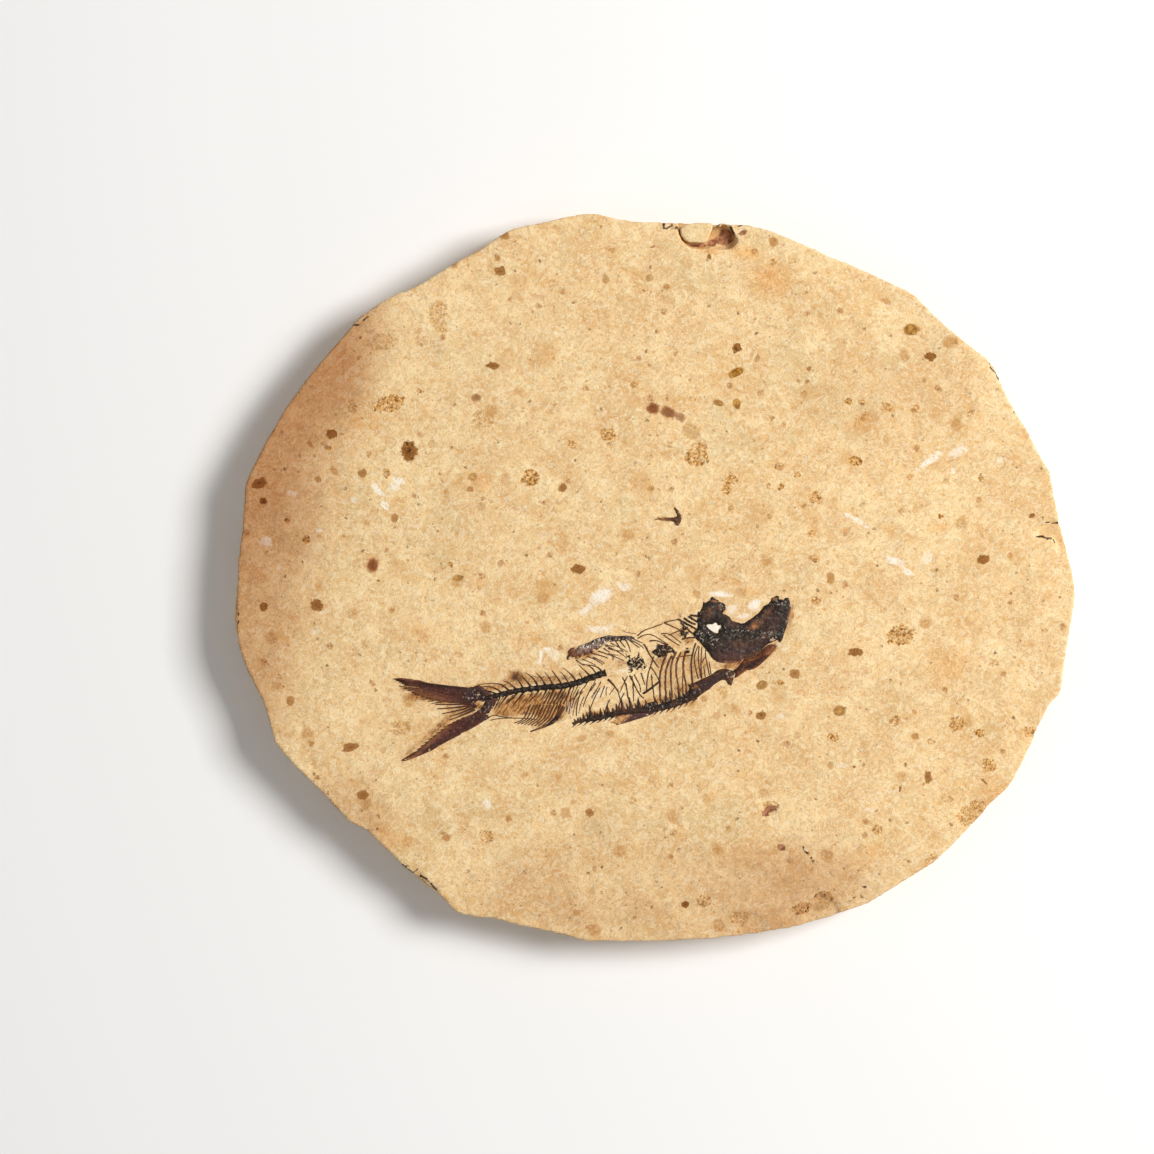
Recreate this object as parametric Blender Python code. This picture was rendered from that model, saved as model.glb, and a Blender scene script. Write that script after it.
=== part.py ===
"""Fossil fish slab: a thin plate of laminated buff limestone, nipped to a rough oval, with the
flattened skeleton of a small herring-like fish on its split face.

The frame: origin under the middle of the slab, on its underside. +X runs towards the fish's snout,
+Y towards its back, +Z out of the split face. Every outline and route below is in millimetres.
"""

import math
import random

import bmesh
import bpy
from mathutils import Vector

MM = 0.001

# The slab, 95 mm long, 82 mm wide and 6.5 mm thick, split along its bedding.
BEDS = (  # thickness of each bed from the underside up, and how far its broken edge stands back
    (1.6, 0.9),
    (1.2, 0.3),
    (1.5, 0.0),
    (1.2, 0.45),
    (1.0, 0.2),
)
FACE = sum(thick for thick, _ in BEDS)
BED_OVERLAP = 0.05
LONGEST_STRAIGHT = 4.2
EDGE_WANDER = 0.22
EDGE_SEED = 11

# The corners left by the bites of the nippers, anticlockwise from the right-hand tip.
SLAB_OUTLINE = (
    (47.5, -2.1), (47.2, 0.0), (46.8, 2.0), (45.8, 6.0), (45.0, 10.0), (44.7, 12.0), (43.4, 14.2),
    (41.9, 17.0), (40.0, 20.2), (38.2, 24.0), (37.4, 25.0), (36.0, 26.0), (33.0, 28.5), (31.0, 30.2),
    (29.4, 31.9), (28.3, 32.7), (26.0, 33.6), (22.9, 35.2), (19.6, 36.5), (17.8, 37.2), (14.0, 38.9),
    (11.8, 39.7), (10.0, 39.95), (6.4, 40.1), (2.1, 40.25), (-2.6, 40.35), (-4.6, 40.75),
    (-6.6, 41.15), (-8.2, 41.1), (-10.3, 40.8), (-13.0, 40.05), (-15.8, 39.5), (-16.8, 39.1),
    (-18.0, 38.4), (-19.8, 37.2), (-22.0, 35.9), (-24.6, 34.4), (-27.0, 33.0), (-29.4, 32.0),
    (-31.3, 31.0), (-32.8, 29.8), (-33.9, 28.7), (-36.5, 25.8), (-39.3, 22.4), (-41.9, 18.9),
    (-44.2, 14.9), (-45.6, 12.2), (-46.2, 10.4), (-46.5, 6.0), (-47.0, 2.0), (-47.2, -1.0),
    (-47.5, -4.4), (-47.4, -5.6), (-46.9, -7.6), (-46.2, -9.9), (-45.4, -11.9), (-44.2, -14.0),
    (-43.6, -16.2), (-42.9, -18.6), (-41.3, -20.6), (-38.5, -23.5), (-37.6, -24.2), (-36.4, -25.7),
    (-34.3, -27.6), (-32.4, -28.7), (-31.8, -29.4), (-30.0, -30.9), (-28.8, -32.3), (-25.8, -34.8),
    (-24.0, -36.1), (-22.4, -37.8), (-20.2, -38.3), (-17.9, -38.6), (-14.0, -39.5), (-10.0, -40.5),
    (-7.9, -41.1), (-2.2, -41.15), (2.0, -41.1), (6.5, -40.8), (11.5, -40.2), (16.5, -39.3),
    (19.8, -38.4), (22.3, -37.5), (23.8, -37.0), (25.9, -35.7), (27.9, -34.5), (31.6, -32.2),
    (34.0, -29.9), (36.0, -27.8), (37.7, -25.8), (40.0, -23.7), (40.7, -22.7), (42.0, -19.9),
    (43.8, -16.0), (44.7, -14.3), (45.7, -13.2), (46.0, -12.0), (46.2, -9.8), (47.0, -4.9),
)

# Where a flake has come off the rim: its depth and its outline, which runs out past the edge.
RIM_FLAKES = {
    "upper_right": (0.2, ((36.2, 24.0), (37.0, 24.3), (38.0, 26.0), (41.0, 24.0), (40.2, 21.6),
                          (38.6, 22.1), (38.0, 22.9), (37.2, 23.5))),
    "right": (0.35, ((49.0, 6.6), (44.2, 6.3), (43.0, 5.6), (42.7, 4.7), (43.6, 4.5), (44.5, 4.4),
                    (45.0, 3.6), (44.8, 2.9), (46.0, 2.3), (49.0, 2.0))),
    "lower_right": (0.2, ((42.1, -16.0), (41.2, -17.3), (42.1, -18.2), (45.0, -19.6), (46.5, -16.0))),
    "corner_right": (0.15, ((37.2, -24.4), (34.2, -25.0), (33.6, -27.4), (34.6, -28.2), (38.5, -28.5),
                           (40.0, -25.5))),
    "bottom": (0.2, ((9.0, -37.6), (11.2, -37.4), (12.4, -38.7), (12.9, -43.0), (8.4, -43.0),
                     (9.2, -39.5))),
    "bottom_right": (0.25, ((16.8, -37.5), (18.0, -35.2), (19.2, -35.6), (20.3, -36.3), (20.8, -37.4),
                           (21.5, -41.0), (15.8, -42.0))),
    "bottom_corner": (0.15, ((21.8, -36.3), (22.8, -35.4), (23.1, -34.4), (24.3, -34.5), (25.3, -35.0),
                             (27.5, -37.0), (23.5, -39.5), (21.9, -38.4))),
    "lower_left": (0.35, ((-30.5, -31.4), (-29.2, -31.5), (-28.3, -32.1), (-27.3, -33.1), (-26.0, -33.2),
                         (-25.3, -34.1), (-24.2, -35.0), (-25.0, -38.0), (-32.0, -34.0))),
    "left": (0.25, ((-49.0, -3.0), (-47.0, -3.0), (-46.8, -4.2), (-47.0, -5.8), (-49.0, -7.0))),
    "upper_left": (0.2, ((-35.5, 29.2), (-33.3, 28.0), (-32.2, 29.2), (-31.0, 30.3), (-31.6, 33.0))),
    "top": (0.25, ((0.9, 40.0), (1.6, 39.0), (2.4, 39.2), (2.9, 38.5), (3.2, 39.2), (3.0, 43.0),
                   (0.6, 43.0))),
}
# The broken hollow at the top edge, the small pit beside it, and pits in the face.
FACE_HOLLOWS = {
    "hollow": (1.3, ((3.3, 37.9), (3.9, 37.2), (5.6, 37.05), (6.3, 37.3), (7.0, 37.0), (8.2, 37.0),
                     (8.9, 37.4), (9.1, 37.95), (8.6, 38.5), (8.0, 39.4), (7.2, 39.3), (6.8, 40.3),
                     (6.7, 43.0), (3.3, 43.0), (2.9, 39.5), (2.95, 38.5))),
    "hollow_corner": (0.7, ((9.3, 38.25), (9.35, 38.75), (10.4, 39.2), (10.1, 38.7), (9.8, 38.25))),
    "crescent_pit": (0.45, ((12.0, -25.6), (12.2, -26.1), (12.9, -26.6), (13.6, -26.3), (14.1, -25.7),
                            (14.1, -25.1), (13.7, -25.3), (13.5, -25.8), (12.9, -25.7))),
    "leaf_pit": (0.5, ((13.5, -29.9), (14.0, -29.6), (14.6, -29.9), (14.8, -30.4), (14.2, -30.2))),
}
# A flake of the top bed that has cracked free and still sits in the hollow.
LOOSE_FLAKE = ((3.3, 38.9), (3.35, 38.3), (3.8, 37.75), (4.4, 37.6), (5.6, 37.6), (6.0, 37.9),
               (6.2, 38.6), (6.5, 39.2), (6.4, 39.9), (4.7, 40.0), (3.7, 39.6))
LOOSE_FLAKE_THICK = 1.05

# The skeleton stands a little proud of the face, with a hair's gap so that no two solids meet.
BONE_GAP = 0.1
ROUND_SIDES = 6  # of the backbone and the stouter bones
THIN_SIDES = 4  # of the ribs, spines and rays
SKULL_THICK = 0.65
JAW_THICK = 0.45
SHOULDER_THICK = 0.55
FIN_THICK = 0.3
KEEL_THICK = 0.45
LUMP_THICK = 0.6
SPINE_RADIUS = 0.1
RIB_RADIUS = 0.12
RAY_RADIUS = 0.1

SKULL = (
    (4.9, -4.8), (5.0, -4.1), (5.15, -3.3), (5.45, -2.7), (5.9, -2.7), (6.45, -2.15), (7.1, -2.5),
    (7.75, -2.85), (7.95, -3.5), (7.55, -4.05), (8.1, -4.15), (8.6, -4.6), (9.2, -5.1), (9.9, -5.1),
    (10.8, -4.75), (11.5, -4.2), (12.05, -3.4), (12.6, -3.0), (13.0, -2.4), (13.7, -1.95),
    (14.1, -2.35), (14.8, -2.2), (15.1, -2.6), (15.3, -3.4), (15.0, -5.0), (14.5, -6.4), (14.1, -7.2),
    (13.2, -7.15), (12.4, -7.6), (11.9, -8.3), (11.3, -8.7), (9.8, -8.95), (8.2, -9.4), (6.9, -9.35),
    (6.3, -8.7), (5.6, -7.9), (5.0, -7.3), (4.5, -6.5), (4.5, -5.95), (4.9, -5.4),
)
SKULL_WINDOW = ((5.75, -5.2), (6.3, -5.8), (6.6, -6.1), (7.15, -6.2), (7.1, -5.8), (7.45, -5.5),
                (7.4, -5.15), (6.75, -5.0), (6.5, -5.25))
EYE_RING = (6.1, -4.0, 0.55, 0.16)  # x, y, radius of the ring, radius of its rim
SKULL_DOMES = (  # x, y, half length, half width, height over the plate, turn in degrees
    (7.6, -7.6, 2.3, 1.5, 0.35, -20.0),
    (13.2, -4.6, 2.6, 0.8, 0.3, 62.0),
    (10.4, -6.8, 2.4, 1.0, 0.28, 10.0),
)
JAW = (
    (13.65, -7.65), (13.4, -8.2), (12.8, -8.9), (12.0, -9.5), (11.3, -10.0), (10.6, -10.25),
    (9.9, -10.4), (9.2, -10.9), (8.95, -10.7), (9.1, -10.1), (9.6, -9.5), (10.5, -9.15), (11.4, -8.95),
    (12.05, -8.6), (12.3, -8.05), (13.0, -7.75),
)
SHOULDER = (
    (3.85, -12.2), (4.3, -11.6), (5.0, -11.35), (6.2, -10.75), (7.1, -10.2), (8.3, -10.3),
    (8.85, -10.9), (8.8, -11.3), (8.5, -12.0), (8.1, -11.7), (7.7, -11.35), (6.6, -12.1), (6.0, -12.5),
    (5.1, -12.9), (4.5, -13.4), (3.95, -13.5),
)

# The belly keel: a row of scutes, its upper edge from front to back and then its lower edge.
KEEL = (
    (3.75, -12.9), (2.9, -13.3), (2.0, -13.75), (1.2, -14.15), (0.2, -14.3), (-1.0, -14.6),
    (-2.2, -14.8), (-3.5, -14.75), (-4.6, -15.05), (-5.6, -15.3), (-6.6, -15.6), (-8.0, -15.8),
    (-9.0, -15.9), (-9.1, -16.15), (-8.0, -16.1), (-6.6, -16.0), (-5.0, -15.6), (-3.4, -15.25),
    (-1.8, -15.3), (-0.4, -15.15), (1.2, -14.75), (2.2, -14.35), (3.1, -13.95), (3.7, -13.75),
)
BARB_LINE = (
    (3.4, -13.75), (2.2, -14.25), (1.2, -14.62), (-0.4, -15.02), (-1.8, -15.18), (-3.4, -15.13),
    (-5.0, -15.48), (-6.6, -15.88), (-8.7, -16.02),
)
BARB_COUNT = 18
BARB_REACH = (-0.55, -0.33)  # how far a scute's barb runs back and down
BARB_RADIUS = 0.15
BARB_HEIGHT = 0.21
SCUTE_ARMS = (  # each scute's arm from the keel up to the foot of its rib
    ((-8.0, -15.9), (-8.0, -15.1)), ((-7.3, -15.8), (-7.3, -14.8)), ((-6.6, -15.7), (-6.75, -14.9)),
    ((-5.9, -15.5), (-6.2, -14.5)), ((-5.1, -15.3), (-5.35, -14.2)), ((-4.4, -15.2), (-4.3, -14.3)),
)
RIBS = (  # each rib from its head down to the keel or the shoulder plate
    ((1.4, -8.95), (0.9, -9.8), (0.6, -10.8), (0.55, -12.0), (0.7, -13.2), (0.85, -14.4)),
    ((2.0, -8.75), (1.45, -9.6), (1.25, -10.6), (1.2, -11.8), (1.3, -13.0), (1.55, -14.3)),
    ((2.5, -8.5), (1.95, -9.3), (1.75, -10.3), (1.8, -11.4), (2.0, -12.6), (2.4, -13.8)),
    ((3.3, -8.55), (2.65, -9.1), (2.4, -10.0), (2.45, -11.1), (2.7, -12.3), (2.95, -13.5)),
    ((3.6, -8.8), (3.25, -9.6), (3.25, -10.6), (3.3, -11.8), (3.35, -13.3)),
    ((-0.8, -8.4), (-0.25, -9.3), (-0.4, -10.1), (-0.8, -11.0), (-0.85, -12.4), (-0.8, -14.7)),
    ((-0.45, -9.9), (0.1, -10.6), (0.5, -11.3)),
    ((-1.6, -10.6), (-1.75, -11.6), (-1.85, -13.3), (-1.85, -14.9)),
    ((-2.75, -11.0), (-2.35, -11.9), (-2.1, -12.7), (-2.25, -13.7), (-2.2, -15.0)),
    ((-3.5, -11.2), (-3.15, -12.1), (-3.05, -13.2), (-2.75, -15.0)),
    ((-5.1, -11.5), (-4.5, -12.1), (-4.05, -12.9), (-3.85, -13.8), (-3.6, -15.0)),
)
FRONT_RIBS = (  # the crowded ribs behind the gill cover, which end on the shoulder plate
    ((4.3, -7.9), (4.1, -9.0), (4.05, -10.2), (4.25, -11.95)),
    ((4.6, -8.2), (4.45, -9.2), (4.6, -10.2), (4.95, -11.5)),
    ((5.05, -8.3), (4.9, -9.3), (5.05, -10.4), (5.25, -11.4)),
    ((5.4, -8.4), (5.3, -9.3), (5.5, -10.2), (5.75, -11.1)),
    ((5.75, -8.6), (5.75, -9.2), (6.0, -10.0), (6.15, -10.9)),
)

BACKBONE = (
    (-5.55, -10.6), (-6.5, -10.95), (-7.5, -11.35), (-8.5, -11.7), (-9.5, -11.95), (-10.5, -12.1),
    (-11.5, -12.2), (-12.5, -12.27), (-13.5, -12.4), (-14.5, -12.5), (-15.5, -12.65), (-16.5, -12.87),
    (-17.4, -13.1), (-18.2, -13.35), (-19.0, -13.45),
)
CENTRUM_COUNT = 17
CENTRUM_RADIUS = 0.36
CENTRUM_WAIST = 0.24
UPPER_SPINES = (  # from the backbone up and back
    ((-6.0, -10.75), (-6.5, -9.95), (-7.3, -9.6)), ((-6.7, -11.0), (-7.1, -10.3), (-7.8, -9.75)),
    ((-7.4, -11.3), (-7.8, -10.6), (-8.4, -10.0)), ((-8.1, -11.55), (-8.35, -10.9), (-8.65, -10.5)),
    ((-8.9, -11.8), (-9.35, -10.9), (-10.4, -10.1)), ((-9.7, -12.0), (-9.9, -11.3), (-10.25, -10.8)),
    ((-10.5, -12.1), (-10.9, -11.3), (-11.5, -10.4)), ((-11.4, -12.2), (-11.75, -11.4), (-12.4, -10.5)),
    ((-12.3, -12.25), (-12.7, -11.4), (-13.4, -10.65)), ((-13.1, -12.35), (-13.55, -11.4), (-14.5, -10.65)),
    ((-13.9, -12.45), (-14.4, -11.6), (-15.1, -10.95)), ((-14.8, -12.55), (-15.3, -11.8), (-15.9, -11.3)),
    ((-15.6, -12.7), (-16.2, -11.9), (-17.0, -11.5)), ((-16.4, -12.85), (-17.1, -12.15), (-18.2, -11.8)),
    ((-17.1, -13.0), (-18.0, -12.35), (-19.3, -11.95)), ((-17.9, -13.25), (-18.8, -12.7), (-19.8, -12.4)),
)
LOWER_SPINES = (  # from the backbone down and back
    ((-6.2, -10.9), (-6.6, -12.2), (-7.2, -13.3)), ((-7.2, -11.3), (-7.6, -12.5), (-8.2, -13.6)),
    ((-8.2, -11.6), (-8.7, -13.0), (-9.2, -14.4), (-9.15, -15.4)),
    ((-9.4, -11.95), (-9.75, -13.0), (-10.1, -13.9)), ((-10.3, -12.1), (-10.8, -13.2), (-11.1, -14.0)),
    ((-11.2, -12.2), (-11.6, -13.1), (-11.9, -13.9)), ((-12.0, -12.25), (-12.5, -13.2), (-13.1, -14.0)),
    ((-12.9, -12.3), (-13.4, -13.2), (-14.1, -14.0)), ((-13.8, -12.4), (-14.5, -13.4), (-15.2, -14.1)),
    ((-14.6, -12.5), (-15.1, -13.3), (-15.8, -14.0)), ((-15.4, -12.65), (-16.1, -13.5), (-16.8, -14.2)),
    ((-16.2, -12.8), (-16.9, -13.6), (-17.5, -14.3)), ((-17.1, -13.0), (-17.7, -13.9), (-18.0, -14.7)),
)

DORSAL_FIN = (
    (-9.75, -9.1), (-9.7, -8.2), (-9.3, -7.8), (-8.6, -7.85), (-7.8, -7.5), (-7.2, -7.0), (-6.3, -6.7),
    (-5.5, -6.55), (-4.2, -6.55), (-3.3, -6.5), (-2.2, -6.65), (-2.5, -6.95), (-3.3, -7.1), (-4.4, -7.2),
    (-5.0, -7.4), (-5.7, -7.8), (-6.8, -8.25), (-7.6, -8.65), (-8.6, -9.0),
)
ANAL_BASE = ((-10.75, -15.3), (-11.3, -15.65), (-12.4, -15.75), (-13.6, -15.75), (-15.2, -15.7))
ANAL_SUPPORTS = 9  # the bones that hold the fin, between the lower spines and its base
ANAL_SUPPORT_RISE = (0.6, 1.05)  # how far each runs forward and up
ANAL_RAYS = (
    ((-10.9, -15.4), (-11.6, -16.25), (-13.9, -17.1)), ((-11.3, -15.65), (-12.2, -16.2), (-13.8, -16.85)),
    ((-11.8, -15.7), (-12.7, -16.15), (-14.1, -16.8)), ((-12.3, -15.75), (-13.2, -16.05), (-14.5, -16.65)),
    ((-12.9, -15.75), (-13.7, -15.98), (-14.8, -16.4)), ((-13.5, -15.75), (-14.2, -15.9), (-15.0, -16.15)),
)

TAIL_UPPER_LOBE = (
    (-20.25, -12.35), (-21.0, -12.38), (-22.5, -12.3), (-24.0, -12.02), (-26.0, -11.6), (-27.5, -11.35),
    (-29.0, -11.25), (-28.2, -11.8), (-27.2, -12.5), (-26.2, -13.2), (-25.0, -13.55), (-24.0, -13.75),
    (-22.5, -13.95), (-21.5, -14.05), (-20.6, -14.15), (-19.8, -13.85), (-19.45, -13.5), (-19.8, -12.95),
)
TAIL_LOWER_LOBE = (
    (-18.5, -13.85), (-18.25, -14.25), (-18.6, -15.2), (-19.2, -15.9), (-20.0, -16.55), (-21.0, -17.1),
    (-22.0, -17.6), (-23.0, -18.1), (-24.0, -18.6), (-25.0, -19.1), (-26.0, -19.65), (-27.0, -20.05),
    (-28.3, -20.35), (-27.3, -19.75), (-26.6, -19.1), (-26.0, -18.4), (-25.2, -17.7), (-24.4, -17.0),
    (-23.5, -16.4), (-22.5, -15.95), (-21.5, -15.55), (-20.6, -15.15), (-20.0, -14.75), (-19.4, -14.2),
    (-19.2, -13.9),
)
TAIL_ROOT = ((-19.75, -13.35), (-19.1, -14.3))  # a short bar where the two lobes meet
TAIL_MIDDLE_RAYS = (
    ((-20.9, -14.0), (-22.6, -14.2), (-23.6, -14.35), (-24.4, -14.3)),
    ((-20.3, -13.9), (-22.0, -14.5), (-23.0, -14.75), (-24.0, -14.75)),
    ((-20.1, -13.8), (-21.2, -14.75), (-22.2, -15.0), (-23.3, -15.05)),
    ((-19.55, -14.5), (-20.9, -14.95), (-22.0, -15.35), (-23.0, -15.65)),
)

PELVIC_FIN = ((-4.3, -16.45), (-4.0, -16.0), (-3.0, -15.72), (-1.7, -15.68), (-2.3, -16.0), (-3.2, -16.3))
VERTEBRA_LUMPS = {  # what is left of the front of the backbone
    "front_vertebra_1": ((-3.0, -8.95), (-2.4, -8.9), (-1.7, -8.65), (-1.2, -9.1), (-1.0, -9.8),
                         (-1.2, -10.2), (-1.8, -10.35), (-2.4, -10.3), (-2.95, -10.3), (-2.85, -9.6)),
    "front_vertebra_2": ((0.0, -8.5), (0.0, -8.0), (0.6, -7.6), (1.2, -7.4), (1.8, -7.6), (2.3, -8.25),
                         (1.7, -8.4), (1.2, -8.75), (0.6, -8.95)),
    "front_vertebra_3": ((2.75, -6.4), (3.0, -5.8), (3.4, -5.45), (3.8, -5.7), (4.05, -6.2), (3.7, -6.6),
                         (3.2, -6.8)),
    "front_vertebra_4": ((3.35, -8.3), (3.35, -8.0), (3.65, -7.85), (3.95, -8.05), (3.9, -8.4),
                         (3.6, -8.45)),
}
STRAY_BONE = (
    (0.3, 6.75), (1.0, 6.95), (1.8, 7.0), (2.1, 7.25), (2.1, 7.8), (2.45, 7.45), (2.55, 7.0),
    (2.3, 6.3), (2.0, 6.45), (1.8, 6.75), (1.0, 6.65),
)

PLANNED = []


def clear_scene():
    for thing in list(bpy.data.objects):
        bpy.data.objects.remove(thing, do_unlink=True)


def new_collection(name, parent, in_render=True):
    made = bpy.data.collections.new(name)
    parent.children.link(made)
    made.hide_render = not in_render
    return made


def material(name, colour, roughness):
    """A plain Principled finish; these surfaces are stone and bone, so none is metallic."""
    made = bpy.data.materials.new(name)
    made.use_nodes = True
    shader = made.node_tree.nodes["Principled BSDF"]
    shader.inputs["Base Color"].default_value = (*colour, 1.0)
    shader.inputs["Roughness"].default_value = roughness
    shader.inputs["Metallic"].default_value = 0.0
    return made


def as_mesh(curve_object, collection):
    """The curve's closed mesh as a new object, with the caps welded to the sides."""
    graph = bpy.context.evaluated_depsgraph_get()
    mesh = bpy.data.meshes.new_from_object(curve_object.evaluated_get(graph))
    work = bmesh.new()
    work.from_mesh(mesh)
    bmesh.ops.remove_doubles(work, verts=work.verts, dist=0.002 * MM)
    bmesh.ops.recalc_face_normals(work, faces=work.faces)
    work.to_mesh(mesh)
    work.free()
    made = bpy.data.objects.new(curve_object.name, mesh)
    made.matrix_world = curve_object.matrix_world.copy()
    collection.objects.link(made)
    name = curve_object.name
    bpy.data.objects.remove(curve_object, do_unlink=True)
    made.name = name
    return made


def plate(name, outline, low, high, collection):
    """A flat piece of the given outline, from height low to height high above the underside."""
    curve = bpy.data.curves.new(name, "CURVE")
    curve.dimensions = "2D"
    curve.fill_mode = "BOTH"
    curve.extrude = (high - low) / 2 * MM
    spline = curve.splines.new("POLY")
    spline.points.add(len(outline) - 1)
    for point, (x, y) in zip(spline.points, outline):
        point.co = (x * MM, y * MM, 0.0, 1.0)
    spline.use_cyclic_u = True
    made = bpy.data.objects.new(name, curve)
    made.location = (0.0, 0.0, (low + high) / 2 * MM)
    collection.objects.link(made)
    bpy.context.view_layer.update()
    return as_mesh(made, collection)


def rod(name, route, radii, height, collection, sides=THIN_SIDES):
    """A thin round bone along a route, its centre line at the given height."""
    curve = bpy.data.curves.new(name, "CURVE")
    curve.dimensions = "3D"
    curve.bevel_depth = 1.0 * MM
    curve.bevel_resolution = (sides - 4) // 2
    curve.use_fill_caps = True
    spline = curve.splines.new("POLY")
    spline.points.add(len(route) - 1)
    for point, (x, y), radius in zip(spline.points, route, radii):
        point.co = (x * MM, y * MM, height * MM, 1.0)
        point.radius = radius
    made = bpy.data.objects.new(name, curve)
    collection.objects.link(made)
    bpy.context.view_layer.update()
    return as_mesh(made, collection)


def tapered(radius, tip, count):
    """Radii that shrink evenly from the root of a bone to its tip."""
    return [radius + (tip - radius) * i / (count - 1) for i in range(count)]


def dome(name, spot, collection):
    """A low rounded swelling: a flattened ball sunk to its middle in the top of the skull plate."""
    x, y, half_length, half_width, rise, turn = spot
    work = bmesh.new()
    bmesh.ops.create_uvsphere(work, u_segments=12, v_segments=8, radius=1.0)
    bmesh.ops.scale(work, vec=(half_length * MM, half_width * MM, rise * MM), verts=work.verts)
    mesh = bpy.data.meshes.new(name)
    work.to_mesh(mesh)
    work.free()
    made = bpy.data.objects.new(name, mesh)
    made.location = (x * MM, y * MM, (FACE + BONE_GAP + SKULL_THICK - 0.02) * MM)
    made.rotation_euler = (0.0, 0.0, math.radians(turn))
    collection.objects.link(made)
    return made


def boolean(target, operation, operands):
    """Notes a join or a cut, to be set up once every piece has been made."""
    PLANNED.append((target, operation, operands))


def set_up_booleans():
    """Joins each noted collection of operands to its target, or cuts it away."""
    for target, operation, operands in PLANNED:
        step = target.modifiers.new(operation.title(), "BOOLEAN")
        step.operation = operation
        step.operand_type = "COLLECTION"
        step.collection = operands
        step.solver = "EXACT"


def dress(piece, finish, object_collection):
    """Gives a piece its material and puts it in the object's own collection."""
    piece.data.materials.clear()
    piece.data.materials.append(finish)
    for collection in list(piece.users_collection):
        collection.objects.unlink(piece)
    object_collection.objects.link(piece)
    return piece


def point_along(route, share):
    """The point at a share of the route's length."""
    points = [Vector(p) for p in route]
    lengths = [(b - a).length for a, b in zip(points, points[1:])]
    left = share * sum(lengths)
    for start, end, length in zip(points, points[1:], lengths):
        if left <= length:
            return tuple(start.lerp(end, left / length))
        left -= length
    return tuple(points[-1])


def broken_edge(outline, stand_back, wander):
    """The outline drawn in by about stand_back, its long runs broken up as a chipped edge is."""
    made = []
    count = len(outline)
    for i, corner in enumerate(outline):
        before, here, after = Vector(outline[i - 1]), Vector(corner), Vector(outline[(i + 1) % count])
        along = (after - before).normalized()
        inward = Vector((-along.y, along.x))
        made.append(here + inward * stand_back * wander.uniform(0.5, 1.4))
        span = after - here
        steps = max(1, round(span.length / LONGEST_STRAIGHT))
        side = Vector((-span.y, span.x)).normalized()
        for step in range(1, steps):
            depth = stand_back * wander.uniform(0.5, 1.4) + wander.uniform(0.0, EDGE_WANDER)
            made.append(here + span * step / steps + side * depth)
    return [tuple(point) for point in made]


def limestone_slab(finish, whole, tools):
    """The plate: its beds stacked and joined, then the flaked rim and the hollows cut out."""
    wander = random.Random(EDGE_SEED)
    beds = new_collection("slab_beds", tools)
    low = 0.0
    stacked = []
    for number, (thick, stand_back) in enumerate(BEDS):
        outline = broken_edge(SLAB_OUTLINE, stand_back, wander)
        bottom = low - BED_OVERLAP if number else low
        stacked.append(plate(f"bed_{number + 1}", outline, bottom, low + thick, beds))
        low += thick
    slab = stacked[0]
    slab.name = "limestone_slab"
    boolean(slab, "UNION", beds)
    beds.objects.unlink(slab)
    cutters = new_collection("slab_cutters", tools)
    for name, (depth, outline) in {**RIM_FLAKES, **FACE_HOLLOWS}.items():
        plate(f"cut_{name}", outline, FACE - depth, FACE + 1.0, cutters)
    boolean(slab, "DIFFERENCE", cutters)
    return dress(slab, finish, whole)


def loose_flake(finish, whole):
    hollow_depth = FACE_HOLLOWS["hollow"][0]
    low = FACE - hollow_depth + BONE_GAP
    flake = plate("loose_flake", LOOSE_FLAKE, low, low + LOOSE_FLAKE_THICK, whole)
    return dress(flake, finish, whole)


def bone_plate(name, outline, thick, finish, whole):
    """A flat bone lying on the face."""
    low = FACE + BONE_GAP
    return dress(plate(name, outline, low, low + thick, whole), finish, whole)


def skull(finish, whole, tools):
    """The crushed head: a thick plate with a window through it, low domes and the ring of the eye."""
    head = bone_plate("skull", SKULL, SKULL_THICK, finish, whole)
    swellings = new_collection("skull_swellings", tools)
    for number, spot in enumerate(SKULL_DOMES):
        dome(f"skull_dome_{number + 1}", spot, swellings)
    x, y, ring, rim = EYE_RING
    bpy.ops.mesh.primitive_torus_add(
        major_radius=ring * MM, minor_radius=rim * MM, major_segments=14, minor_segments=6,
        location=(x * MM, y * MM, (FACE + BONE_GAP + SKULL_THICK) * MM),
    )
    eye = bpy.context.object
    eye.name = "eye_ring"
    for collection in list(eye.users_collection):
        collection.objects.unlink(eye)
    swellings.objects.link(eye)
    boolean(head, "UNION", swellings)
    window = new_collection("skull_window", tools)
    plate("cut_skull_window", SKULL_WINDOW, FACE - 1.0, FACE + 3.0, window)
    boolean(head, "DIFFERENCE", window)
    return head


def backbone(finish, whole, tools):
    """The rear vertebrae, each a spool with a waist, and the spines above and below them."""
    height = FACE + BONE_GAP + CENTRUM_RADIUS
    route, radii = [point_along(BACKBONE, 0.0)], [CENTRUM_RADIUS]
    for number in range(CENTRUM_COUNT):
        for share, radius in ((0.5, CENTRUM_WAIST), (1.0, CENTRUM_RADIUS)):
            route.append(point_along(BACKBONE, (number + share) / CENTRUM_COUNT))
            radii.append(radius)
    column = rod("backbone", route, radii, height, whole, sides=ROUND_SIDES)
    spines = new_collection("backbone_spines", tools)
    low = FACE + BONE_GAP + SPINE_RADIUS
    for number, spine in enumerate(UPPER_SPINES + LOWER_SPINES):
        rod(f"spine_{number + 1}", spine, tapered(SPINE_RADIUS, 0.05, len(spine)), low, spines)
    boolean(column, "UNION", spines)
    return dress(column, finish, whole)


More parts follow.
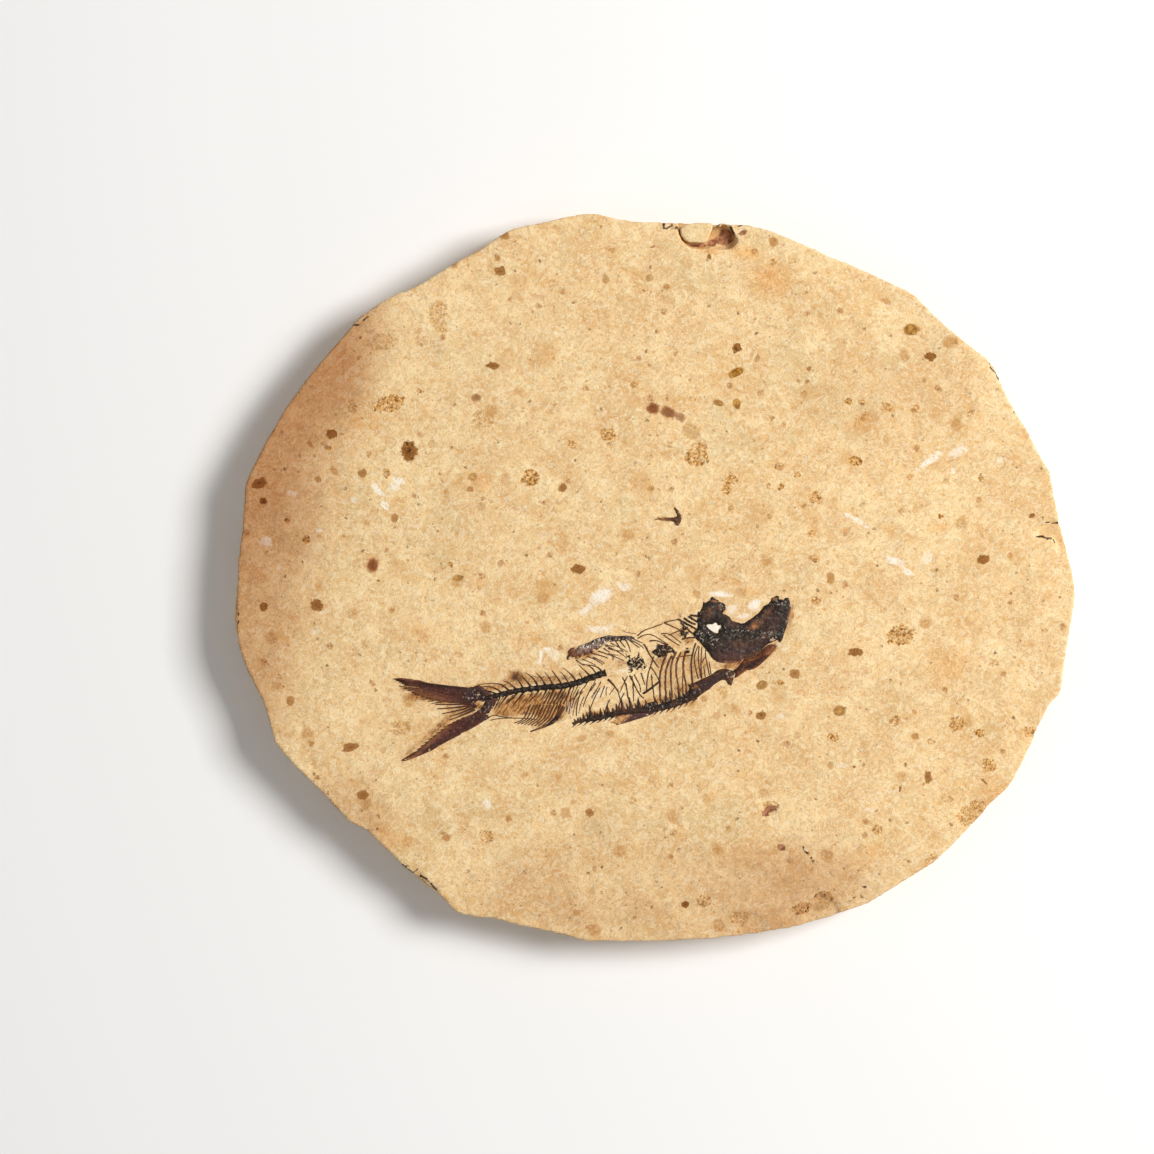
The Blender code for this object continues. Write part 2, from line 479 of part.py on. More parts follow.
def rib_basket(finish, whole, tools):
    """The belly keel with its barbed scutes, and the ribs that rise from it."""
    keel = bone_plate("rib_basket", KEEL, KEEL_THICK, finish, whole)
    pieces = new_collection("rib_basket_pieces", tools)
    low = FACE + BONE_GAP + RIB_RADIUS
    barb_height = FACE + BONE_GAP + BARB_HEIGHT
    for number in range(BARB_COUNT):
        root = Vector(point_along(BARB_LINE, number / (BARB_COUNT - 1)))
        barb = (tuple(root), tuple(root + Vector(BARB_REACH)))
        rod(f"barb_{number + 1}", barb, (BARB_RADIUS, 0.05), barb_height, pieces)
    for number, arm in enumerate(SCUTE_ARMS):
        rod(f"arm_{number + 1}", arm, (BARB_RADIUS, 0.06), barb_height, pieces)
    for number, rib in enumerate(RIBS):
        rod(f"rib_{number + 1}", rib, tapered(0.08, 0.15, len(rib)), low, pieces)
    boolean(keel, "UNION", pieces)
    return keel


def shoulder_girdle(finish, whole, tools):
    """The plate behind the gill cover, with the crowded front ribs that end on it."""
    girdle = bone_plate("shoulder_girdle", SHOULDER, SHOULDER_THICK, finish, whole)
    ribs = new_collection("front_ribs", tools)
    low = FACE + BONE_GAP + RIB_RADIUS
    for number, rib in enumerate(FRONT_RIBS):
        rod(f"front_rib_{number + 1}", rib, tapered(0.08, 0.12, len(rib)), low, ribs)
    boolean(girdle, "UNION", ribs)
    return girdle


def tail_fin(finish, whole, tools):
    """Two lobes, the bar where they meet and the short middle rays between them."""
    tail = bone_plate("tail_fin", TAIL_UPPER_LOBE, FIN_THICK, finish, whole)
    pieces = new_collection("tail_pieces", tools)
    low = FACE + BONE_GAP
    plate("tail_lower_lobe", TAIL_LOWER_LOBE, low, low + FIN_THICK - 0.03, pieces)
    rod("tail_root", TAIL_ROOT, (0.24, 0.24), low + 0.25, pieces, sides=ROUND_SIDES)
    for number, ray in enumerate(TAIL_MIDDLE_RAYS):
        radii = tapered(RAY_RADIUS, 0.06, len(ray))
        rod(f"tail_ray_{number + 1}", ray, radii, low + RAY_RADIUS + 0.02, pieces)
    boolean(tail, "UNION", pieces)
    return tail


def anal_fin(finish, whole, tools):
    """A bowed base, the bones that hold it and its swept rays."""
    low = FACE + BONE_GAP + RAY_RADIUS
    base_radii = tapered(0.13, 0.08, len(ANAL_BASE))
    fin = rod("anal_fin", ANAL_BASE, base_radii, low + 0.04, whole, sides=ROUND_SIDES)
    pieces = new_collection("anal_fin_pieces", tools)
    for number in range(ANAL_SUPPORTS):
        foot = Vector(point_along(ANAL_BASE, (number + 0.3) / ANAL_SUPPORTS))
        support = (tuple(foot), tuple(foot + Vector(ANAL_SUPPORT_RISE)))
        rod(f"anal_support_{number + 1}", support, (0.09, 0.05), low, pieces)
    for number, ray in enumerate(ANAL_RAYS):
        rod(f"anal_ray_{number + 1}", ray, tapered(RAY_RADIUS, 0.05, len(ray)), low, pieces)
    boolean(fin, "UNION", pieces)
    return dress(fin, finish, whole)


def main():
    clear_scene()
    scene = bpy.context.scene.collection
    whole = new_collection("fossil_fish_slab", scene)
    tools = new_collection("cutters_and_joined_pieces", scene, in_render=False)
    limestone_slab(material("buff_limestone", (0.84, 0.58, 0.31), 0.9), whole, tools)
    loose_flake(material("pale_limestone", (0.87, 0.70, 0.47), 0.9), whole)
    skull(material("umber_black_bone", (0.055, 0.04, 0.028), 0.5), whole, tools)
    lower = material("red_brown_bone", (0.09, 0.045, 0.035), 0.55)
    bone_plate("lower_jaw", JAW, JAW_THICK, lower, whole)
    shoulder_girdle(material("purple_brown_bone", (0.1, 0.055, 0.045), 0.55), whole, tools)
    backbone(material("grey_black_bone", (0.06, 0.05, 0.045), 0.55), whole, tools)
    rib_basket(material("dark_brown_bone", (0.085, 0.055, 0.035), 0.55), whole, tools)
    fin_finish = material("brown_fin_bone", (0.12, 0.075, 0.045), 0.6)
    bone_plate("dorsal_fin", DORSAL_FIN, FIN_THICK, fin_finish, whole)
    anal_fin(material("tan_fin_bone", (0.25, 0.14, 0.07), 0.6), whole, tools)
    bone_plate("pelvic_fin", PELVIC_FIN, FIN_THICK, material("russet_fin_bone", (0.2, 0.1, 0.05), 0.6), whole)
    tail_fin(material("amber_brown_bone", (0.13, 0.075, 0.045), 0.6), whole, tools)
    for name, outline in VERTEBRA_LUMPS.items():
        bone_plate(name, outline, LUMP_THICK, material(f"{name}_bone", (0.06, 0.05, 0.04), 0.6), whole)
    bone_plate("stray_bone", STRAY_BONE, FIN_THICK, material("stray_bone_brown", (0.1, 0.06, 0.035), 0.6), whole)
    set_up_booleans()
    for helper in tools.all_objects:
        helper.hide_render = True
        helper.display_type = "WIRE"
    bpy.context.view_layer.update()


main()
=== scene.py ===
import math

import bpy
import numpy as np
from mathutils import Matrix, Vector, noise
from mathutils.bvhtree import BVHTree


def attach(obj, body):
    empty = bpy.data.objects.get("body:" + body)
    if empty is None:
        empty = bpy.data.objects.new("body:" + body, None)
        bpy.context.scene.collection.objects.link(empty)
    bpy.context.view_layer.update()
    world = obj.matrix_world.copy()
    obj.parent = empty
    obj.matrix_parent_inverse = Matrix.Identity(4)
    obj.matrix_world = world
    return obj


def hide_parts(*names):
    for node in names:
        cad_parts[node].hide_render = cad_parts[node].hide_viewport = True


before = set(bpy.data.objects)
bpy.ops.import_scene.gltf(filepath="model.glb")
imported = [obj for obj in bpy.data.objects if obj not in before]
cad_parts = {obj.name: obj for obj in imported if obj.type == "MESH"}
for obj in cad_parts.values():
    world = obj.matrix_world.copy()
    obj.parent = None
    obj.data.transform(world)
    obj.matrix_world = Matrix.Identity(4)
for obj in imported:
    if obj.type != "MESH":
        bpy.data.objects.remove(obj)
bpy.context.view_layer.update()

# The plate: buff limestone laid down in thin beds, split along one of them and then nipped to a
# rough oval, so the face is nearly flat and the edge is broken and layered. It is one piece of
# stone, and everything else is fixed in its face.

MM = 0.001  # sizes in this script are in millimetres, and Blender's are in metres
FACE = 6.5  # height of the split face above the underside
STONE_GRAIN = 0.3  # side of one facet of the finished stone
STONE_FACETS = 186_000  # what the finished stone may have; the underside is thinned to reach it
BROKEN_FROM = 0.4  # the broken edge is what is steep above this height
SPLIT_FROM = 4.0  # the split face is what looks up above this one
UNDERSIDE_TO = 0.2  # the underside is what looks down below this one


def start_clean():
    """Leaves edit mode and deselects everything, so that the next operator meets only its piece."""
    if bpy.context.object and bpy.context.object.mode != "OBJECT":
        bpy.ops.object.mode_set(mode="OBJECT")
    bpy.ops.object.select_all(action="DESELECT")


def take_up(piece):
    start_clean()
    piece.select_set(True)
    bpy.context.view_layer.objects.active = piece


def finish_modifier(piece, kind, **settings):
    """Adds a modifier, sets it and applies it."""
    step = piece.modifiers.new(kind.title(), kind)
    for setting, value in settings.items():
        setattr(step, setting, value)
    take_up(piece)
    bpy.ops.object.modifier_apply(modifier=step.name)


def merged_copy(node, name):
    """A copy of a solid of the frame to work on, its loose triangles merged into one skin."""
    piece = bpy.data.objects.new(name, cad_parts[node].data.copy())
    bpy.context.scene.collection.objects.link(piece)
    piece.data.materials.clear()
    take_up(piece)
    bpy.ops.object.mode_set(mode="EDIT")
    bpy.ops.mesh.select_all(action="SELECT")
    bpy.ops.mesh.remove_doubles(threshold=0.002 * MM)
    bpy.ops.object.mode_set(mode="OBJECT")
    return piece


def points_of(piece):
    """The piece's points in millimetres, one row each."""
    flat = np.empty(len(piece.data.vertices) * 3, np.float32)
    piece.data.vertices.foreach_get("co", flat)
    return flat.reshape(-1, 3) / MM


def set_points(piece, points):
    piece.data.vertices.foreach_set("co", (np.asarray(points, np.float32) * MM).ravel())
    piece.data.update()


def normals_of(piece):
    flat = np.empty(len(piece.data.vertices) * 3, np.float32)
    piece.data.vertices.foreach_get("normal", flat)
    return flat.reshape(-1, 3)


def weigh(piece, name, weights):
    """A vertex group from one weight for each point, in steps of a tenth."""
    group = piece.vertex_groups.new(name=name)
    tenths = np.rint(np.clip(weights, 0.0, 1.0) * 10).astype(int)
    for tenth in range(1, 11):
        group.add(np.flatnonzero(tenths == tenth).tolist(), tenth / 10, "REPLACE")


def cloud(name, size, depth=2):
    texture = bpy.data.textures.new(name, "CLOUDS")
    texture.noise_scale = size * MM
    texture.noise_depth = depth
    return texture


def mark(piece, name, values):
    """Stores one number for each point, which a material reads by its name."""
    stored = piece.data.attributes.new(name, "FLOAT", "POINT")
    stored.data.foreach_set("value", np.asarray(values, np.float32))


stone = merged_copy("limestone_slab", "stone_plate")
finish_modifier(stone, "REMESH", mode="VOXEL", voxel_size=STONE_GRAIN * MM, use_smooth_shade=True)
upward = normals_of(stone)[:, 2]
heights = points_of(stone)[:, 2]
weigh(stone, "broken_edge", np.where(heights > BROKEN_FROM, (1.0 - np.abs(upward)) * 1.3, 0.0))
weigh(stone, "split_face", np.where(heights > SPLIT_FROM, upward, 0.0))
weigh(stone, "underside", np.where(heights < UNDERSIDE_TO, -upward, 0.0))
for texture, group, depth in (
    (cloud("edge_chips", 2.6), "broken_edge", 0.32),
    (cloud("edge_crumbs", 0.8), "broken_edge", 0.2),
    (cloud("face_waves", 7.0), "split_face", 0.12),
    (cloud("face_grain", 1.1, depth=3), "split_face", 0.11),
):
    finish_modifier(
        stone, "DISPLACE", texture=texture, texture_coords="LOCAL", strength=depth * MM,
        mid_level=1.0, vertex_group=group,
    )
facets = sum(len(face.vertices) - 2 for face in stone.data.polygons)
finish_modifier(
    stone, "DECIMATE", ratio=min(1.0, STONE_FACETS / facets), vertex_group="underside",
    vertex_group_factor=1000.0,
)
stone.vertex_groups.clear()

# What is only colour on the face is kept as lists of marks, (x, y, half length, half width, turn in
# degrees, strength), and stored on the stone's points as closeness to the nearest mark: 1 at its
# middle, 0 on its rim. The material roughens that rim, so a mark looks soaked in and not printed.

UMBER_MARKS = (
    (-27.5, 14.2, 1.3, 1.08, 100, 1.0), (-36.2, 16.1, 0.72, 0.65, 0, 0.9),
    (-32.7, 11.7, 0.75, 0.6, 25, 0.8), (-18.1, 23.8, 0.9, 0.5, -5, 0.9),
    (-17.3, 34.4, 0.8, 0.65, 0, 0.85), (-16.8, 38.3, 0.75, 0.55, 0, 0.75),
    (-35.9, 12.0, 0.9, 0.45, -50, 0.55), (-43.8, 8.6, 0.55, 0.5, 0, 0.95), (-41.1, 6.4, 0.4, 0.4, 0, 0.5),
    (-43.8, -3.2, 0.65, 0.6, 0, 0.9), (-37.8, -3.1, 0.9, 0.75, -30, 0.9),
    (-40.8, -13.8, 0.65, 0.6, 0, 0.75), (-34.1, -19.0, 1.15, 0.62, 20, 0.85),
    (-32.7, -24.3, 0.8, 0.62, 0, 0.85), (-23.3, -29.1, 0.6, 0.5, 0, 0.7),
    (-7.3, -26.3, 0.65, 0.6, 0, 0.8), (-10.0, -26.3, 0.8, 0.75, 0, 0.5), (-8.6, 1.0, 1.0, 0.68, 0, 0.9),
    (-10.3, 10.1, 0.65, 0.58, 0, 0.85), (9.2, 25.7, 0.68, 0.62, 40, 1.0), (17.3, 23.4, 0.4, 0.34, 0, 0.8),
    (16.1, 22.1, 0.4, 0.36, 0, 0.6), (17.1, 22.0, 0.35, 0.3, 0, 0.8), (30.9, 24.8, 0.75, 0.6, 0, 1.0),
    (25.9, 31.0, 0.7, 0.45, -20, 0.6), (13.3, 37.6, 0.65, 0.8, 0, 0.7), (36.8, 2.1, 0.85, 0.68, 20, 0.9),
    (22.5, -8.3, 0.95, 0.6, 0, 0.9), (15.7, -10.7, 0.75, 0.7, 0, 0.8), (11.9, -15.4, 0.65, 0.55, 0, 0.85),
    (6.9, -15.5, 0.8, 0.55, 20, 0.4), (-8.2, -18.0, 0.7, 0.55, 0, 0.45),
    (-5.0, -17.4, 0.7, 0.45, 0, 0.45), (19.7, 0.0, 0.55, 0.95, 0, 0.7), (3.4, -36.6, 0.55, 0.5, 0, 0.95),
    (30.6, -22.3, 0.5, 0.9, 0, 0.85), (29.2, -17.7, 0.6, 0.5, 0, 0.7), (-8.7, -37.5, 0.6, 0.5, 0, 0.5),
    (6.1, 36.0, 0.35, 0.35, 0, 0.9), (4.7, -1.8, 0.5, 0.8, 30, 0.5), (14.2, -30.2, 0.6, 0.4, -30, 1.0),
    (-29.1, 6.7, 0.6, 0.65, 0, 0.75), (42.3, 7.0, 0.5, 0.35, 30, 0.9), (-37.0, 15.0, 0.7, 0.35, -30, 0.5),
    (-38.6, 15.0, 0.7, 0.35, -50, 0.6), (21.7, 10.8, 0.17, 0.17, 0, 1.0),
    (26.3, -12.9, 0.17, 0.17, 0, 1.0), (9.6, -26.2, 0.22, 0.2, 0, 1.0), (-33.2, 24.6, 0.35, 0.35, 0, 0.6),
    (-44.3, 10.6, 1.1, 0.7, 20, 0.85), (29.1, -15.0, 0.5, 0.3, -30, 0.65),
    (27.5, -23.6, 0.18, 0.5, -10, 0.9), (22.3, -21.2, 0.3, 0.22, 0, 0.95),
    (36.9, -22.8, 0.65, 0.16, -45, 0.9), (-0.4, 10.0, 0.6, 0.45, 20, 0.65),
    (10.9, 13.0, 0.35, 0.35, 0, 0.5),
)
PLUM_MARKS = (
    (-31.6, 1.4, 0.85, 1.08, -10, 1.0), (-0.2, 19.0, 0.9, 0.85, 0, 1.0),
    (1.5, 18.55, 1.15, 0.8, -20, 0.95), (2.9, 18.0, 0.85, 0.6, -35, 0.7),
    (-20.0, 20.2, 0.72, 0.58, 0, 0.75), (-0.2, 37.1, 0.42, 0.2, 25, 0.8), (0.2, 27.6, 0.32, 0.28, 0, 0.8),
)
OCHRE_MARKS = (
    (9.1, 23.0, 1.08, 0.55, 28, 1.0), (7.1, 19.6, 0.75, 0.42, -20, 0.85),
    (9.2, 19.5, 0.5, 0.75, 15, 0.95), (28.7, 27.8, 0.95, 0.8, 0, 0.95), (12.0, -12.0, 0.8, 0.6, 20, 0.85),
    (-20.4, 11.3, 0.62, 0.55, 20, 0.7), (20.7, -14.9, 0.85, 0.7, 0, 0.85),
    (-19.4, 8.0, 0.6, 0.55, 30, 0.4), (-25.0, 15.0, 0.45, 0.55, -20, 0.45),
    (-5.5, 33.5, 0.45, 0.65, 0, 0.5), (-4.8, 36.7, 0.5, 0.35, 0, 0.45),
    (4.1, 16.4, 1.25, 0.95, -25, 0.45), (36.4, 8.0, 0.5, 0.35, 0, 0.3),
    (11.5, 24.6, 0.35, 0.55, -15, 0.6), (-0.6, 33.6, 0.55, 0.5, 0, 0.6), (3.9, -7.0, 0.6, 0.35, 20, 0.6),
    (-23.3, 9.4, 0.35, 0.65, 10, 0.4), (16.0, -17.6, 0.5, 0.5, 0, 0.4), (39.0, -19.4, 0.4, 0.35, 0, 0.6),
    (-22.0, 0.0, 0.8, 0.4, 10, 0.8), (-41.2, 6.5, 0.4, 0.3, 0, 0.95), (19.7, -21.0, 0.4, 0.6, 0, 0.5),
    (18.6, -36.8, 1.2, 0.6, 10, 0.6), (-36.6, 14.6, 0.55, 0.3, -10, 0.8),
)
GRAINY_MARKS = (
    (4.7, 13.6, 1.35, 1.2, 0, 0.9), (-13.9, 11.2, 1.2, 1.0, 0, 1.0), (-29.8, 19.5, 2.0, 1.0, 18, 1.0),
    (-19.2, 17.8, 1.3, 1.2, 0, 0.5), (-24.2, 29.3, 1.2, 1.9, 10, 0.55), (-5.2, 16.0, 1.0, 0.85, 0, 0.9),
    (18.0, 9.0, 0.85, 0.75, 0, 0.95), (17.6, 4.9, 0.65, 0.42, 0, 0.95), (17.9, 2.2, 0.62, 0.5, -20, 0.85),
    (18.1, -2.6, 0.62, 0.55, 0, 0.8), (22.5, 13.1, 0.8, 0.6, -15, 1.0), (16.0, 11.6, 0.5, 0.42, 0, 0.8),
    (28.7, 11.3, 0.55, 0.35, 0, 0.8), (36.6, 11.0, 0.5, 0.42, 0, 0.85), (32.7, 11.0, 0.45, 0.6, 0, 0.55),
    (32.0, 6.9, 0.4, 0.35, 0, 0.95), (35.4, 18.4, 0.65, 0.4, 40, 0.7), (29.2, 18.9, 0.6, 0.45, 30, 0.9),
    (21.7, 19.8, 0.5, 0.42, 0, 1.0), (23.2, 19.7, 0.5, 0.4, 0, 0.8), (26.0, 19.2, 0.5, 0.75, 25, 0.8),
    (23.6, 18.2, 0.5, 0.42, 0, 0.7), (-28.5, -16.8, 1.5, 0.9, 0, 0.6), (-18.7, -29.0, 0.85, 0.75, 0, 0.8),
    (5.5, -36.2, 0.95, 0.75, 0, 0.8), (33.8, -16.3, 1.0, 0.9, 0, 0.85), (27.0, -16.0, 0.7, 0.65, 0, 0.8),
    (37.4, -21.0, 0.95, 0.85, 0, 0.9), (35.5, -26.3, 1.9, 1.2, 40, 0.75),
    (27.5, -6.4, 1.7, 1.25, 10, 0.95), (20.0, -17.9, 0.75, 0.65, 0, 1.0),
    (-33.8, 19.1, 0.6, 0.9, 20, 0.7), (-30.5, 26.5, 2.0, 1.1, 10, 0.45), (-39.0, 4.3, 0.5, 0.55, 0, 0.95),
    (-30.1, 11.7, 0.5, 0.6, 0, 0.95), (-26.2, 21.0, 0.6, 0.35, 10, 0.8), (-4.9, 14.9, 0.5, 0.4, 0, 0.6),
    (-32.0, 13.9, 0.35, 0.45, 0, 0.7), (-35.1, 16.1, 0.35, 0.25, 0, 0.9),
    (-9.2, 14.9, 0.55, 0.55, 0, 0.7), (5.0, 14.6, 1.0, 0.7, 0, 0.8), (13.1, 17.9, 0.4, 0.35, 0, 0.9),
    (8.6, 11.0, 0.8, 0.65, 0, 1.0), (8.0, 9.8, 0.6, 0.6, 0, 0.9), (-22.9, 1.5, 0.35, 0.4, 40, 0.95),
    (7.5, -12.6, 0.65, 0.55, 0, 0.6), (14.1, -11.7, 0.5, 0.3, -20, 0.9), (13.1, -25.6, 0.95, 0.7, 0, 0.8),
    (-2.3, 21.6, 0.55, 0.4, 30, 0.8), (13.3, 35.4, 0.5, 0.45, 0, 0.85), (-1.1, 32.2, 0.4, 0.25, 0, 0.9),
    (-20.0, 6.5, 0.3, 0.3, 0, 0.3), (-11.2, 19.5, 0.3, 0.4, 0, 0.8), (-7.7, 21.2, 0.4, 0.35, 0, 0.6),
    (-2.5, -24.9, 0.5, 0.5, 0, 0.6), (-14.5, -22.0, 0.6, 0.4, 20, 0.5), (38.0, -9.5, 0.6, 0.5, 0, 0.6),
    (43.5, -6.0, 0.6, 0.4, 10, 0.5), (-22.0, -8.5, 0.7, 0.5, 0, 0.4), (31.0, -31.5, 0.8, 0.6, 30, 0.6),
    (16.5, -37.0, 1.3, 0.7, 10, 0.8), (19.0, -35.8, 1.2, 0.8, 0, 0.7), (9.5, -38.0, 1.2, 0.8, 0, 0.6),
    (14.0, 12.5, 0.65, 0.5, 0, 0.85), (12.8, 10.3, 0.35, 0.45, 0, 0.9), (14.1, 10.2, 0.45, 0.45, 0, 0.95),
    (42.0, -17.2, 0.95, 0.65, -10, 0.85), (36.4, -17.4, 0.65, 0.5, 0, 1.0),
    (32.7, -24.6, 0.8, 0.6, -30, 0.6), (31.0, -18.3, 0.55, 0.4, 0, 0.6),
    (24.9, -28.2, 0.6, 0.75, 0, 0.85), (12.8, 6.8, 0.45, 0.4, 0, 0.6), (1.6, 14.9, 0.45, 0.4, 0, 0.5),
    (-13.0, 30.5, 0.5, 0.4, 0, 0.6), (6.3, -21.0, 0.5, 0.4, 0, 0.6), (-26.5, -12.0, 0.6, 0.5, 0, 0.6),
    (33.5, 26.5, 0.6, 0.5, 0, 0.6), (2.0, -28.5, 0.6, 0.45, 20, 0.6),
)
PALE_MARKS = (
    (-31.0, 9.8, 1.15, 0.45, -50, 1.0), (-28.9, 10.6, 1.35, 0.75, 30, 0.9),
    (-30.3, 8.2, 0.85, 0.4, -40, 0.95), (-33.6, 8.7, 0.6, 0.42, 0, 0.6), (-37.6, 5.3, 0.5, 0.3, 20, 0.8),
    (-43.5, 4.1, 0.75, 0.7, 0, 1.0), (-6.0, -2.0, 1.8, 1.0, 25, 0.85), (-7.6, -3.4, 1.2, 0.7, 40, 0.6),
    (-3.5, -1.0, 1.1, 0.6, 0, 0.6), (-6.0, -5.7, 1.8, 0.6, 5, 0.6), (30.8, 13.1, 2.2, 0.55, 35, 0.9),
    (33.8, 14.2, 1.3, 0.7, 30, 0.7), (33.4, 11.9, 0.35, 0.5, 0, 0.9), (26.8, 1.9, 1.3, 0.55, -10, 0.95),
    (28.2, 0.6, 0.9, 0.4, -30, 0.85), (30.5, 2.2, 1.2, 0.8, 50, 0.5), (22.8, 6.4, 1.6, 0.3, -32, 0.8),
    (21.5, 7.1, 0.4, 0.25, 0, 0.9), (-18.8, -25.3, 0.7, 0.6, 30, 0.7), (19.2, 0.6, 0.4, 0.3, 0, 0.9),
    (17.95, 2.15, 0.2, 0.24, 0, 1.0), (-11.1, 27.4, 0.7, 0.35, -50, 0.6), (-8.6, 35.6, 0.15, 0.5, 0, 0.7),
    (-40.5, 9.5, 0.9, 0.6, 0, 0.8), (-42.0, 1.0, 0.6, 0.4, 0, 0.5), (-3.4, -10.3, 1.0, 0.35, 20, 0.7),
    (4.8, -6.1, 0.25, 0.35, 0, 0.8), (27.5, 9.9, 0.3, 0.25, 0, 0.8), (-38.0, -6.0, 0.6, 0.4, 0, 0.5),
    (14.0, -15.5, 0.9, 0.4, 20, 0.4), (21.0, -21.0, 0.9, 0.4, 0, 0.4), (-19.0, -10.0, 0.9, 0.4, 10, 0.4),
    (24.0, -26.0, 0.8, 0.5, 0, 0.4), (38.5, 13.0, 0.8, 0.35, 45, 0.6),
)
WASH_MARKS = (
    (13.0, 33.2, 3.6, 3.0, 20, 0.8), (10.4, 36.4, 2.8, 1.1, -10, 0.9), (6.0, 36.6, 2.2, 0.7, -5, 0.7),
    (23.3, 17.4, 2.6, 1.5, 20, 0.8), (26.5, 18.9, 2.0, 0.6, 5, 0.7), (10.5, -1.6, 1.6, 0.8, 0, 0.7),
    (-12.0, 33.0, 1.4, 2.0, 0, 0.45), (-11.6, 25.0, 1.6, 2.2, 0, 0.4), (-19.3, 11.0, 1.6, 2.6, 20, 0.55),
    (-33.5, 17.3, 1.6, 0.9, 0, 0.6), (-28.5, 8.6, 1.6, 1.0, 0, 0.5), (31.8, 5.6, 2.2, 0.9, 10, 0.6),
    (26.3, 5.6, 1.5, 1.0, 15, 0.5), (-37.0, 31.0, 3.0, 2.0, 30, 0.5), (17.8, 6.0, 1.2, 2.5, -5, 0.45),
    (33.0, -10.0, 4.5, 3.0, 30, 0.5), (24.0, -31.0, 4.5, 2.0, 30, 0.5),
    (-30.0, -29.0, 3.5, 1.6, -40, 0.6), (-26.0, -6.0, 4.0, 2.2, 0, 0.35),
    (10.0, -31.0, 4.5, 2.4, 10, 0.4), (38.0, -24.0, 2.5, 3.0, 0, 0.6),
)

# The stains that the rotting fish left round its bones are softer: amber film, soot and bare chalky
# stone, each an (x, y, half length, half width, turn, strength) that fades out with no rim.

FILM_MARKS = (
    (-16.8, -14.3, 1.5, 0.7, 30, 0.8), (-14.0, -14.0, 2.2, 0.9, 0, 0.85),
    (-11.2, -13.6, 1.8, 1.0, 0, 0.8), (-9.4, -14.0, 0.8, 1.2, -20, 0.6), (-11.6, -15.3, 1.9, 0.9, 0, 0.8),
    (-18.5, -12.3, 1.4, 0.3, 8, 0.6), (-13.6, -11.4, 1.6, 0.5, 5, 0.5), (-16.2, -11.6, 1.0, 0.6, 10, 0.6),
    (12.0, -8.6, 2.4, 0.6, 32, 0.9), (-15.0, -11.6, 2.2, 0.6, 10, 0.5), (-11.8, -11.4, 1.8, 0.6, 5, 0.5),
    (-9.0, -10.9, 1.3, 0.5, 20, 0.4), (-15.4, -14.4, 2.4, 0.5, 8, 0.75),
    (-16.5, -15.2, 1.3, 0.35, 0, 0.8), (-12.4, -14.4, 1.9, 1.0, 0, 0.75),
    (-12.2, -13.4, 1.8, 0.5, 0, 0.4), (-13.6, -13.6, 1.5, 0.6, 20, 0.7),
    (-12.3, -16.0, 1.8, 0.6, 15, 0.6), (-20.0, -14.3, 0.9, 0.5, 0, 0.95),
    (-14.8, -15.0, 1.2, 0.4, 0, 0.8), (-15.4, -10.9, 1.1, 0.6, 0, 0.8), (-25.2, -13.3, 2.4, 0.4, 8, 0.7),
    (-27.8, -12.2, 1.0, 0.5, 30, 0.5), (-24.2, -16.7, 3.0, 0.45, 42, 0.6),
    (-27.3, -19.4, 1.4, 0.5, 40, 0.4), (-21.6, -15.0, 1.8, 0.7, 15, 0.5),
    (10.5, -9.15, 2.3, 0.42, 14, 0.95), (8.4, -9.9, 1.3, 0.4, 0, 0.7), (6.9, -9.8, 0.8, 0.5, 0, 0.35),
    (15.3, -4.2, 0.35, 1.8, -12, 0.5), (4.8, -10.0, 1.5, 1.9, 0, 0.5), (1.8, -11.3, 1.8, 2.0, 0, 0.35),
    (-6.8, -15.3, 1.3, 0.45, 5, 0.7), (-3.5, -14.5, 1.8, 0.7, 10, 0.45), (-7.8, -8.7, 1.6, 0.5, 15, 0.6),
    (-10.6, -7.8, 0.35, 0.35, 0, 0.8), (-14.8, -13.6, 2.0, 0.6, 12, 0.75),
    (-16.6, -14.2, 1.2, 0.6, 20, 0.7), (-10.6, -13.6, 1.0, 1.2, 0, 0.6),
    (-26.0, -12.9, 2.4, 0.55, 15, 0.75), (-23.4, -13.9, 1.4, 0.3, 0, 0.6),
    (-17.3, -12.2, 1.6, 0.35, 8, 0.6), (0.4, -13.9, 2.8, 0.7, 12, 0.55), (3.6, -12.4, 1.4, 0.7, 20, 0.6),
    (2.4, -6.4, 1.2, 0.5, 0, 0.3), (-22.0, -14.7, 1.3, 0.5, 15, 0.4), (-3.6, -9.6, 1.0, 0.6, 0, 0.45),
    (0.6, -9.3, 1.3, 0.5, 0, 0.45), (9.6, -1.7, 0.8, 0.7, 0, 0.3), (3.8, -7.1, 0.6, 0.35, 15, 0.7),
    (1.2, 6.6, 1.1, 0.3, -10, 0.6),
)
SOOT_MARKS = (
    (-15.5, -11.1, 0.65, 0.55, 0, 0.85), (-16.1, -10.5, 0.5, 0.2, -20, 0.5),
    (-10.1, -11.2, 0.5, 0.4, 0, 0.65), (-12.4, -9.9, 0.35, 0.25, 0, 0.55),
    (-10.75, -9.6, 0.25, 0.2, 0, 0.5), (-14.3, -15.2, 0.5, 0.3, 0, 0.75),
    (-4.6, -9.0, 0.25, 0.22, 0, 0.9), (3.8, -8.0, 0.5, 0.35, 0, 0.4), (-12.6, -13.0, 1.4, 0.25, 3, 0.35),
    (5.0, -4.4, 0.4, 0.8, 0, 0.5), (4.6, -6.4, 0.5, 0.4, 0, 0.55), (10.9, -9.3, 1.0, 0.25, 16, 0.45),
)
